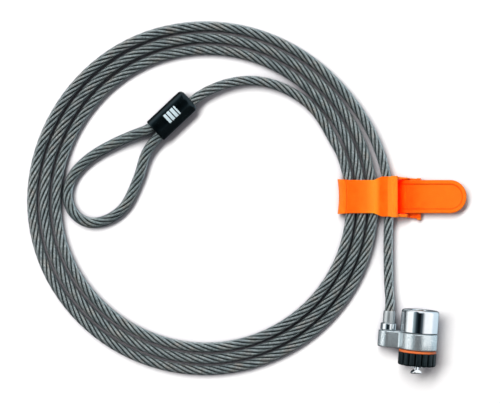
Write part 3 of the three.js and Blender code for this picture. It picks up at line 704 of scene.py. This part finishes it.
def strand_section():
    """The outline of touching strands, and how deep in a groove each of its points lies."""
    strand = ROPE_RADIUS / 3
    points, depth = [], []
    for lobe in range(STRAND_COUNT):
        middle = TURN * lobe / STRAND_COUNT
        for i in range(STRAND_POINTS):
            angle = math.radians(STRAND_ARC * (2 * i / STRAND_POINTS - 1))
            points.append((2 * strand * math.cos(middle) + strand * math.cos(middle + angle),
                           2 * strand * math.sin(middle) + strand * math.sin(middle + angle)))
            depth.append((abs(math.degrees(angle)) / STRAND_ARC) ** 1.6)
    return np.array(points), np.array(depth)


def coat_section(radius):
    angles = np.arange(COAT_SIDES) * TURN / COAT_SIDES
    return np.column_stack([radius * np.cos(angles), radius * np.sin(angles)])


def rope_path():
    low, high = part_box("cable_ferrule")
    centres, _ = ring_centres("wire_rope", (low + high) / 2)
    return smooth_path(centres, ROPE_STEP)


def wire_rope(path, stops):
    section, depth = strand_section()
    twist = -stops * TURN / ROPE_LAY
    obj = swept_mesh("rope_strands", path, section, twist)
    around = np.arctan2(section[:, 1], section[:, 0])[None, :] + twist[:, None]
    set_attribute(obj, "groove", np.tile(depth, len(path)))
    set_attribute(obj, "around", around.ravel())
    finish_piece(obj, "rope_steel", "cable", "wire_rope", 80)


def coat(name, node, path):
    """The clear skin round the stretch of rope that the CAD's sheath covers."""
    centres, radius = ring_centres(node, Vector(path[0]) * MM)
    first, last = sorted(int(np.linalg.norm(path - centres[end], axis=1).argmin())
                         for end in (0, -1))
    stretch = path[first:last + 1:COAT_EVERY]
    obj = swept_mesh(name, stretch, coat_section(radius), np.zeros(len(stretch)),
                     coat_section(radius - COAT_WALL))
    finish_piece(obj, "clear_coat", "cable", node)


# ---------- eye sleeve ----------


def sleeve_place():
    """The sleeve's frame: Z along it towards the cable, Y up, at its middle."""
    points = local_points("eye_crimp", WORLD)
    centred = points[:, :2] - points[:, :2].mean(axis=0)
    direction = np.linalg.svd(centred, full_matrices=False)[2][0]
    along = Vector((*direction, 0)) * (1 if direction[0] > 0 else -1)
    side = along.cross(Vector((0, 0, 1)))
    local = place_on(Vector(), along, side * -1)
    corners = local_points("eye_sleeve", local)
    middle = (corners.min(axis=0) + corners.max(axis=0)) / 2
    size = corners.max(axis=0) - corners.min(axis=0)
    return local @ Matrix.Translation(Vector(middle)), size


def squircle(width, height, power=2.25, count=96):
    """A rounded outline between an ellipse and a box."""
    points = []
    for i in range(count):
        c, s = math.cos(TURN * i / count), math.sin(TURN * i / count)
        reach_out = (abs(c) ** power + abs(s) ** power) ** (-1 / power)
        points.append((width / 2 * c * reach_out, height / 2 * s * reach_out))
    return points


def stadium(width, height, count=48):
    points = []
    for i in range(count):
        angle = TURN * (i + 0.5) / count
        shift = math.copysign((width - height) / 2, math.cos(angle))
        points.append((shift + height / 2 * math.cos(angle), height / 2 * math.sin(angle)))
    return points


def prism(name, outline, z0, z1, place, shift=(0, 0)):
    rings = [[(x + shift[0], y + shift[1], z) for x, y in outline] for z in (z0, z1)]
    return lofted(name, rings, place)


def eye_sleeve():
    place, (width, height, length) = sleeve_place()
    half = length / 2
    levels = edge_levels(-half, half, *SLEEVE_EDGES, 7)
    middle = [(z, 0.0) for z in np.linspace(-half + 2, half - 4, 8)]
    rings = []
    for z, inset in sorted(levels + middle):
        outline = squircle(width - 2 * inset, height - 2 * inset)
        rings.append([(x, y, z) for x, y in outline])
    obj = lofted("sleeve_moulding", rings, place)
    crimp = local_points("eye_crimp", place)
    crimp_size = crimp.max(axis=0) - crimp.min(axis=0)
    pocket = stadium(crimp_size[0] + 2 * CRIMP_GAP, crimp_size[1] + 2 * CRIMP_GAP)
    pocket_end = crimp[:, 2].max() + CRIMP_GAP
    throat = stadium(width - 2 * SLEEVE_WALL, SLEEVE_BORE)
    bore = stadium(SLEEVE_BORE, SLEEVE_BORE)
    combine(obj, "DIFFERENCE", [
        prism("throat", throat, -half - 1, -half + THROAT_DEPTH, place),
        prism("pocket", pocket, -half - 1, pocket_end, place),
        prism("bore", bore, pocket_end - 1, half + 1, place, (SLEEVE_LANE, 0)),
    ])
    points = points_in(obj.data, place)
    set_attribute(obj, "along", points[:, 2])
    set_attribute(obj, "across", points[:, 0])
    set_attribute(obj, "upper", points[:, 1] > 0)
    finish_piece(obj, "black_vinyl", "cable", "eye_sleeve")


# ---------- lock head ----------


def barrel():
    radius, z0, z1 = reach("barrel_shell", HEAD)
    opening = np.hypot(*local_points("barrel_shell", HEAD)[:, :2].T).min()
    inside = radius - BARREL_WALL
    profile = rounded(
        [(inside, z0), (radius, z0), (radius, z1), (opening, z1), (opening, z1 - BARREL_WALL),
         (inside, z1 - BARREL_WALL)],
        [0.15, 0.45, BARREL_RIM, 0.4, 0.15, 0.3], 9)
    obj = turned("barrel_cup", profile, HEAD)
    finish_piece(obj, "chrome", "barrel", "barrel_shell")


def link_outline(inset, big, small, spread, count=72):
    """The link's outline, drawn in by the inset. Its big round end is at the origin.

    Its arm is a bar as thick as the small round end. One side is the common tangent of both
    ends, and the other, which lies level on top, meets the big end in a fillet.
    """
    roll = math.asin((big - small) / spread)
    under = math.pi / 2 + roll
    fillet_reach = big + LINK_FILLET
    lift = math.asin((2 * small - big + LINK_FILLET) / fillet_reach)
    fillet_centre = (-fillet_reach * math.cos(roll + lift), -fillet_reach * math.sin(roll + lift))

    def arc(centre, radius, start, end, steps):
        return [(centre[0] + radius * math.cos(t), centre[1] + radius * math.sin(t))
                for t in np.linspace(start, end, steps)]

    return (arc((0, 0), big - inset, roll + lift - math.pi, under, count)
            + arc((-spread, 0), small - inset, under, under + math.pi, count)
            + arc(fillet_centre, LINK_FILLET + inset, under, roll + lift, count // 4)[:-1])


def anchor_link():
    points = local_points("anchor_link", HEAD)
    z0, z1 = points[:, 2].min(), points[:, 2].max()
    big = points[:, 0].max()
    swivel_offset = HEAD.inverted() @ swivel_seam
    spread = -swivel_offset.x
    small = -points[:, 0].min() - spread
    rings = [[(x, y, z) for x, y in link_outline(inset, big, small, spread)]
             for z, inset in edge_levels(z0, z1, LINK_EDGE, LINK_EDGE)]
    obj = lofted("link_casting", rings, HEAD)
    nose = reach("lock_body", HEAD)
    near_axis = points[np.hypot(points[:, 0], points[:, 1]) < nose[0] + 0.5]
    bore = np.hypot(near_axis[:, 0], near_axis[:, 1]).min()
    pocket_radius, pocket_depth = SHANK_POCKET

    def hole(radius, low, high, x=0.0):
        profile = [(0, low), (radius, low), (radius, high), (0, high)]
        return turned("hole", profile, HEAD @ Matrix.Translation((x, 0, 0)), 96)

    combine(obj, "DIFFERENCE", [
        hole(bore, z0 - 1, z1 + 1),
        hole(nose[0] + 0.1, z0 - 1, z0 + NOSE_POCKET),
        hole(SHANK_BORE, z0 - 1, z1 + 1, -spread),
        hole(pocket_radius, z0 - 1, z0 + pocket_depth, -spread),
    ])
    finish_piece(obj, "cast_zinc", "link", "anchor_link")


def slip_ring():
    radius, z0, z1 = reach("slip_ring", HEAD)
    bore = np.hypot(*local_points("slip_ring", HEAD)[:, :2].T).min()
    profile = rounded([(bore, z0), (radius, z0), (radius, z1), (bore, z1)], [0.1, 0.4, 0.4, 0.1])
    finish_piece(turned("slip_washer", profile, HEAD), "orange_ring", "slip_ring", "slip_ring")


def rib_outline(radius, inset):
    """Rounded ribs parted by narrow grooves."""
    points = []
    count = RIB_COUNT * RIB_POINTS
    for i in range(count):
        share = (i / RIB_POINTS) % 1
        nearness = abs(share - 0.5) * 2
        crown = radius - inset - RIB_DEPTH * nearness ** 5 - 0.15 * nearness ** 2
        angle = TURN * i / count
        points.append((crown * math.cos(angle), crown * math.sin(angle)))
    return points


def thumb_ring():
    points = local_points("thumb_ring", HEAD)
    radius, z0, hub_end = reach("thumb_ring", HEAD)
    wide = points[np.hypot(points[:, 0], points[:, 1]) > radius - 0.5]
    z1 = wide[:, 2].max()
    bore = np.hypot(points[:, 0], points[:, 1]).min()
    rings = [[(x, y, z) for x, y in rib_outline(radius, inset)]
             for z, inset in edge_levels(z0, z1 + 0.4, 0.9, 0.5)]
    obj = lofted("thumb_wheel", rings, HEAD)
    hub = turned("hub", [(0, z1 - 1), (HUB_RADIUS, z1 - 1), (HUB_RADIUS, hub_end), (0, hub_end)],
                 HEAD)
    combine(obj, "UNION", [hub])
    tail = local_points("lock_body", HEAD)
    nose_z = tail[np.hypot(tail[:, 0], tail[:, 1]) > bore + 0.3][:, 2].min()
    relief_start, past_end = nose_z - 0.3, hub_end + 1
    combine(obj, "DIFFERENCE", [
        turned("bore", [(0, z0 - 1), (bore + 1.2, z0 - 1), (bore, z0 + 0.6), (bore, past_end),
                        (0, past_end)], HEAD),
        turned("relief", [(0, relief_start), (NOSE_BORE, relief_start), (NOSE_BORE, past_end),
                          (0, past_end)], HEAD),
    ])
    points = points_in(obj.data, HEAD)
    depth = radius - np.hypot(points[:, 0], points[:, 1])
    on_ribs = depth < 2 * RIB_DEPTH
    set_attribute(obj, "groove", np.clip(depth / RIB_DEPTH, 0, 1) ** 0.7 * on_ribs)
    finish_piece(obj, "black_moulding", "thumb_ring", "thumb_ring")


def t_bar():
    """The locking head, with its back bevelled down to the stem."""
    points = local_points("t_bar", HEAD)
    pin = local_points("guide_pin_1", HEAD).mean(axis=0)
    angle = math.atan2(pin[1], pin[0])
    place = HEAD @ Matrix.Rotation(angle, 4, "Z")
    points = local_points("t_bar", place)
    z0, z1 = points[:, 2].min(), points[:, 2].max()
    head = points[points[:, 2] < z0 + 3]
    half, half_width = head[:, 0].max(), head[:, 1].max()
    stem = np.hypot(*points[points[:, 2] > z0 + 4][:, :2].T).max()
    back = z0 + BAR_THICKNESS
    bevel = back - BAR_BEVEL
    side = rounded([(-half, z0), (half, z0), (half, bevel), (stem + 0.15, back + 0.1),
                    (-stem - 0.15, back + 0.1), (-half, bevel)],
                   [0.5, 0.5, 0.45, 0.5, 0.5, 0.45], 6)
    rings = []
    for y, inset in edge_levels(-half_width, half_width, 0.4, 0.4, 4):
        shrink = 1 - inset / half
        rings.append([(x * shrink, y, back - (back - z) * shrink) for x, z in side])
    obj = lofted("t_key", rings, place)
    profile = rounded([(0, z0 + 0.6), (stem, z0 + 0.6), (stem, z1), (0, z1)], [0, 0.1, 0.3, 0])
    combine(obj, "UNION", [turned("stem", profile, place, 64)])
    finish_piece(obj, "chrome", "spindle", "t_bar")


def guide_pin(number):
    node = f"guide_pin_{number}"
    centre = local_points(node, HEAD).mean(axis=0)
    place = HEAD @ Matrix.Translation((centre[0], centre[1], 0))
    radius, z0, z1 = reach(node, place)
    profile = rounded([(0, z0), (radius, z0), (radius, z1), (0, z1)], [0, 0.3, 0.15, 0], 6)
    obj = turned(f"guide_peg_{number}", profile, place, 48)
    finish_piece(obj, "chrome", "barrel", node)


# ---------- cable swivel ----------


def ferrule():
    radius, z0, z1 = reach("cable_ferrule", SWIVEL)
    points = local_points("cable_ferrule", SWIVEL)
    shank_points = points[points[:, 2] < 0]
    shank = np.hypot(shank_points[:, 0], shank_points[:, 1]).max()
    body = points[np.hypot(points[:, 0], points[:, 1]) > radius - 0.01]
    base = body[:, 2].min()
    floor_z = base + 0.6
    profile = rounded(
        [(0, z0), (shank, z0), (shank, base), (radius, base), (radius, z1 - FERRULE_TAPER),
         (radius - 0.12, z1), (FERRULE_BORE, z1), (FERRULE_BORE, floor_z), (0, floor_z)],
        [0, 0.3, 0, 0.3, 0.6, 0.16, 0.1, 0.2, 0], 6)
    obj = turned("ferrule_sleeve", profile, SWIVEL)
    finish_piece(obj, "brushed_ferrule", "cable", "cable_ferrule")


def collar():
    radius, z0, z1 = reach("swivel_collar", SWIVEL)
    bore = np.hypot(*local_points("swivel_collar", SWIVEL)[:, :2].T).min()
    profile = rounded([(bore, z0), (radius, z0), (radius, z1), (bore, z1)],
                      [0.1, 0.35, 0.5, 0.2], 7)
    finish_piece(turned("collar_ring", profile, SWIVEL), "chrome", "cable", "swivel_collar")


# ---------- strap ----------

pivot = Vector(joint("tongue_peel")["pos_m"]) / MM
band_low, band_high = box_mm("strap_band")
tongue_low, tongue_high = box_mm("strap_tongue")
strap_y = (tongue_low.y + tongue_high.y) / 2
strap_half = (tongue_high.y - tongue_low.y) / 2


def window_start():
    """Where the hood ends and its window starts, from the band's highest corners."""
    points = local_points("strap_band", WORLD)
    return points[points[:, 2] > band_high.z - 0.35][:, 0].max()


def band():
    """The wrapped band and its buckle: the CAD's solid, less the stretch the tongue carries."""
    obj = put_in_scene("strap_buckle", frame["nodes"]["strap_band"].data.copy())
    window = window_start()
    inner = strap_half + BUCKLE_GAP
    low_y, high_y = strap_y - inner, strap_y + inner
    combine(obj, "DIFFERENCE", [
        block("under", (window - 3.5, low_y, -1), (window + 0.05, high_y, 4.3)),
        block("window", (window, low_y, -1), (pivot.x + 0.5, high_y, 8)),
    ])
    top = band_high.z
    ridge = rounded([(window - RIDGE_WIDTH, top - 1.2), (window, top - 1.2), (window, top + 0.2),
                     (window - 1.9, top + 0.75), (window - 3.4, top + 0.1)], 0.6, 5)
    crossbar = extruded("crossbar", ridge, (band_high.y - band_low.y) / 2 - 0.6, strap_y)
    web = block("web", (window - 1, strap_y + strap_half - 0.6, 0.7),
                (pivot.x + 5.5, strap_y + strap_half + 0.5, 1.7))
    join_shells(obj, [crossbar, web])
    soften(obj, STRAP_VOXEL, 5)
    shape_band(obj, window)
    finish_piece(obj, "orange_moulding", "cable", "strap_band", 60)


def shape_band(obj, window):
    """Hollows the fold's edge, and marks where the moulding gets painted light or painted shade."""
    mesh = obj.data
    points = points_in(mesh, WORLD)
    across = np.clip((points[:, 1] - strap_y) / strap_half, -1, 1)
    from_fold = points[:, 0] - band_low.x
    near_fold = np.clip(1 - from_fold / 9, 0, 1)
    crease = np.exp(-((from_fold - CREASE_AT) / 0.25) ** 2) * (points[:, 2] > 6)
    points[:, 0] += 0.75 * (1 - across ** 2) * near_fold
    points[:, 1] += 0.5 * across ** 3 * near_fold ** 2
    points[:, 2] -= CREASE_DEPTH * crease
    mesh.vertices.foreach_set("co", (points * MM).ravel())
    mesh.update()
    # painted light: paler bands across the strap, where its slopes and crossbar face the light
    distances, painted_lightness = zip((0, 0.4), (CREASE_AT, 0.3), (CREASE_AT + 0.5, 0.05),
                           (CREASE_AT + 5, 0.1), (15, 0.45), (18, 1.0), (20, 1.0), (21.6, 0.3),
                           (22.3, 0.0), (25.8, 0.1), (26.6, 0.85), (30, 0.8))
    set_attribute(obj, "painted_light", np.interp(from_fold, distances, painted_lightness))
    # painted shade: inside the window, on the web beside the tongue, along the crease and on the lower rail's
    # shelf
    inside = (points[:, 0] > window - 0.4) & (np.abs(points[:, 1] - strap_y) < strap_half + 0.5)
    painted_shade = np.where(inside, 0.75, 0.5 * crease)
    from_window, below = points[:, 0] - window, strap_y - points[:, 1]
    shelf = (np.abs(from_window - 9.1) < 3.6) & (below > strap_half) & (below < 11.5)
    set_attribute(obj, "painted_shade", np.where(shelf, 0.7, painted_shade))


def tongue_profile():
    """From the middle of the tongue's top to its edge and back below, as (depth, height)."""
    top = (tongue_high.z - tongue_low.z) / 2
    floor_depths = [strap_half, 6.5, 5.0, 3.8, 3.0, 2.7]
    points = [(d, top - RECESS_DEPTH + 0.006 * (d - RIM_WIDTH) ** 1.5) for d in floor_depths]
    for t in np.linspace(1, 0, 6):
        points.append((RIM_WIDTH + 0.3 * (t - 0.5), top - RECESS_DEPTH * (3 * t * t - 2 * t ** 3)))
    points += [(1.6, top + 0.03), (1.1, top + 0.03)]
    for angle in np.linspace(0, math.pi, 11):
        side = (top - TONGUE_EDGE) * np.sign(math.cos(angle))
        points.append((TONGUE_EDGE * (1 - math.sin(angle)), side + TONGUE_EDGE * math.cos(angle)))
    return points + [(d, -top) for d in (1.5, 3.0, 5.0, strap_half)]


def rise_line(window):
    """The band's centre line from under the hood up to the tongue, as (x, z) with its run."""
    level = Vector((window - 5.2, BAND_LOW))
    start = Vector((window - 2.0, BAND_LOW))
    end = Vector((pivot.x - 1.1, pivot.z))
    t = np.linspace(0, 1, 40)[:, None]
    bend = ((1 - t) ** 3 * start + 3 * t * (1 - t) ** 2 * Vector((window + 1.5, BAND_LOW))
            + 3 * t ** 2 * (1 - t) * (end - Vector((3, 0))) + t ** 3 * end)
    line = np.vstack([[level], bend, [(tongue_high.x + 1, pivot.z)]])
    run = np.concatenate([[0], np.cumsum(np.linalg.norm(np.diff(line, axis=0), axis=1))])
    return line, run - run[-1] + line[-1, 0]


def tongue():
    """The tongue and the stretch of band that rises to it, in one skin that curves up towards the peel's pivot."""
    window = window_start()
    line, run = rise_line(window)
    centre = tongue_high.x - strap_half
    legs = np.linspace(run[0], centre, 150)[:-1]
    arc = np.linspace(-math.pi / 2, math.pi / 2, 49)
    stations = [((x, -strap_half), (0, -1)) for x in legs]
    stations += [((centre + strap_half * math.cos(a), strap_half * math.sin(a)),
                  (math.cos(a), math.sin(a))) for a in arc]
    stations += [((x, strap_half), (0, 1)) for x in legs[::-1]]
    profile = tongue_profile()
    slope = np.gradient(line, axis=0)
    lean = np.arctan2(slope[:, 1], slope[:, 0])
    verts = []
    for (bx, by), (nx, ny) in stations:
        for depth, height in profile:
            flat_x, y = bx - nx * depth, by - ny * depth
            y *= 1 + 0.026 * np.interp(flat_x, [window + 2, pivot.x], [1, 0])
            x, z, tilt = (np.interp(flat_x, run, value) for value in (*line.T, lean))
            lift = height * np.interp(flat_x, [run[0], pivot.x], [0.68, 1.0])
            verts.append((x - math.sin(tilt) * lift, strap_y + y, z + math.cos(tilt) * lift))
    count = len(profile)
    faces = []
    for i in range(len(stations) - 1):
        for j in range(count - 1):
            a, b = i * count + j, (i + 1) * count + j
            faces.append((a, a + 1, b + 1, b))
    obj = new_object("strap_tab", verts, faces)
    close_ends(obj)
    points = points_in(obj.data, WORLD)
    from_window = points[:, 0] - window
    past_centre = np.maximum(points[:, 0] - centre, 0)
    depth = strap_half - np.hypot(past_centre, points[:, 1] - strap_y)
    # painted shade: deepest beside the window, fading over 11 mm, and along the recess's inner wall
    wall = np.exp(-((depth - RIM_WIDTH) / 0.3) ** 2) * (points[:, 2] > pivot.z)
    shade = np.clip(1 - (from_window - 0.5) / 11, 0, 1) ** 1.5
    set_attribute(obj, "painted_shade", np.clip(shade + 0.55 * wall, 0, 1))
    # painted light: the tongue gets paler further from the window
    set_attribute(obj, "painted_light", np.interp(from_window, [8, 18, 37], [0.0, 0.35, 0.45]))
    finish_piece(obj, "orange_moulding", None, "strap_tongue", 60)
    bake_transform(obj)


# ---------- carried-over CAD nodes ----------


def dress_cad_nodes():
    """The pieces inside keep their CAD solids, with round surfaces shaded smooth."""
    slots = {row["node"]: row["material_slot"] for row in frame["record"]["subparts"]}
    for name, node in frame["nodes"].items():
        if node.hide_render:
            continue
        node.data.materials.clear()
        node.data.materials.append(MATERIALS[slots[name]])
        smooth_shade(node.data, 32)


# ---------- floor, light and camera ----------


def floor():
    """White paper with painted shade in narrow gaps. Mirrors look through it, to the studio's lower half."""
    half = FLOOR_SIZE / 2
    corners = [(-half, -half, 0), (half, -half, 0), (half, half, 0), (-half, half, 0)]
    obj = new_object("floor", corners, [(0, 1, 2, 3)])
    obj.location.z = -0.02 * MM
    made, tree, shader = material("floor_paper")
    fibre = noise(tree, 40, 3)
    colour = ramp(tree, fibre, [(0.3, (0.95, 0.95, 0.96)), (0.7, (0.97, 0.97, 0.97))])
    # painted shade: an ambient occlusion node darkens the paper near the object and between its parts
    openness = add(tree, "AmbientOcclusion", {"Distance": 8 * MM}, samples=12).outputs["AO"]
    painted_crevice_shade = ramp(tree, openness, [
        (0.0, 0.01), (0.13, (0.10, 0.095, 0.105)), (0.25, (0.30, 0.29, 0.31)),
        (0.5, (0.76, 0.75, 0.78)), (0.7, (0.96, 0.955, 0.97)), (0.85, 1.0)])
    colour = mix(tree, 1.0, colour, painted_crevice_shade, "MULTIPLY")
    drive(tree, shader, Base_Color=colour, Roughness=0.9, Specular_IOR_Level=0.1)
    mirrored = add(tree, "LightPath").outputs["Is Glossy Ray"]
    hidden = add(tree, "BsdfTransparent")
    surface = add(tree, "MixShader", {0: mirrored, 1: shader.outputs[0], 2: hidden.outputs[0]})
    tree.links.new(surface.outputs[0], tree.nodes["Material Output"].inputs["Surface"])
    obj.data.materials.append(made)


def lamp(name, kind, power, colour):
    """A lamp that mirrors don't show."""
    light = bpy.data.lights.new(name, kind)
    light.energy = power
    light.color = colour
    obj = put_in_scene(name, light)
    obj.visible_glossy = False
    return obj, light


def softbox():
    """A long soft lamp, with its long side level and square to the way it shines."""
    obj, light = lamp("key", "AREA", KEY_LIGHT, KEY_COLOUR)
    light.shape = "ELLIPSE"
    light.size, light.size_y = (side * MM for side in KEY_SIZE)
    away = Vector(KEY_FROM).normalized()
    level = away.cross(Vector((0, 0, 1))).normalized()
    turn = Matrix((level, away.cross(level), away)).transposed().to_4x4()
    obj.matrix_world = Matrix.Translation(away * KEY_DISTANCE * MM) @ turn


def kickers():
    """Narrow lamps straight above the buckle's window, which give its inside a red glow."""
    for y in (-KICKER_SPREAD, 0.0, KICKER_SPREAD):
        obj, light = lamp("kicker", "SPOT", KICKER_LIGHT, KICKER_COLOUR)
        light.spot_size = 2 * math.atan(KICKER_REACH / KICKER_HEIGHT)
        light.spot_blend = 1.0
        light.shadow_soft_size = 2 * MM
        obj.location = Vector((pivot.x - 4.0, strap_y + y, KICKER_HEIGHT)) * MM


def studio_world():
    """Soft even light, and for mirrors a ring of bright and dark panels round the Y axis.

    The camera sees a plain pale backdrop past the floor's edge.
    """
    world = bpy.data.worlds.new("studio")
    bpy.context.scene.world = world
    world.use_nodes = True
    tree = world.node_tree
    tree.nodes.clear()
    parts = add(tree, "SeparateXYZ", {0: add(tree, "TexCoord").outputs["Generated"]}).outputs
    lean = math_node(tree, "ARCTAN2", parts["X"], parts["Z"])
    share = math_node(tree, "ADD", math_node(tree, "DIVIDE", lean, TURN), 0.5)
    room = ramp(tree, share, [
        (0.00, (0.10, 0.11, 0.12)), (0.10, (0.08, 0.09, 0.10)), (0.19, (0.16, 0.18, 0.20)),
        (0.27, 1.15), (0.36, 1.15), (0.373, (0.36, 0.46, 0.50)), (0.425, (0.03, 0.045, 0.055)),
        (0.458, (0.003, 0.006, 0.008)), (0.492, (0.006, 0.009, 0.011)), (0.53, (0.09, 0.12, 0.14)),
        (0.575, 1.1), (0.70, 1.15), (0.745, (0.74, 0.85, 0.94)), (0.87, (0.68, 0.82, 0.90)),
        (0.93, (0.22, 0.26, 0.30)), (1.00, (0.10, 0.11, 0.12))])
    height = math_node(tree, "MULTIPLY", math_node(tree, "ADD", parts["Y"], 1.0), 0.5)
    fade = ramp(tree, height, [(0.0, 0.10), (0.33, 0.13), (0.385, 1.0), (1.0, 1.0)])
    far = ramp(tree, height, [(0.63, 0.0), (0.74, 1.0)])
    beside = ramp(tree, math_node(tree, "ABSOLUTE", parts["X"]), [(0.14, 1.0), (0.28, 0.0)])
    far = mix(tree, 1.0, far, beside, "MULTIPLY")
    panels = mix(tree, far, mix(tree, 1.0, room, fade, "MULTIPLY"), (0.95, 1.0, 1.04))
    mirror = add(tree, "Background", {"Color": panels, "Strength": 1.0})
    soft = add(tree, "Background", {"Color": (0.96, 0.93, 1.0, 1), "Strength": SOFT_LIGHT})
    backdrop = add(tree, "Background", {"Color": (0.97, 0.97, 0.98, 1), "Strength": 1.0})
    path = add(tree, "LightPath").outputs
    chosen = add(tree, "MixShader", {0: path["Is Glossy Ray"], 1: soft.outputs[0],
                                     2: mirror.outputs[0]})
    chosen = add(tree, "MixShader", {0: path["Is Camera Ray"], 1: chosen.outputs[0],
                                     2: backdrop.outputs[0]})
    out = tree.nodes.new("ShaderNodeOutputWorld")
    tree.links.new(chosen.outputs[0], out.inputs["Surface"])


def camera():
    data = bpy.data.cameras.new("camera")
    data.sensor_width = SENSOR
    data.lens = SENSOR * (CAMERA_HEIGHT - VIEW_LEVEL) / VIEW_WIDTH
    data.clip_end = 20
    obj = put_in_scene("camera", data)
    obj.location = Vector((*CAMERA_SHIFT, CAMERA_HEIGHT)) * MM
    bpy.context.scene.camera = obj


# ---------- everything ----------

path, stops = rope_path()
wire_rope(path, stops)
coat("cable_coat", "cable_sheath", path)
coat("eye_coat", "eye_sheath", path)
eye_sleeve()
barrel()
anchor_link()
slip_ring()
thumb_ring()
t_bar()
guide_pin(1)
guide_pin(2)
ferrule()
collar()
band()
tongue()
dress_cad_nodes()

floor()
softbox()
kickers()
studio_world()
camera()
bpy.context.scene.view_settings.view_transform = "Standard"
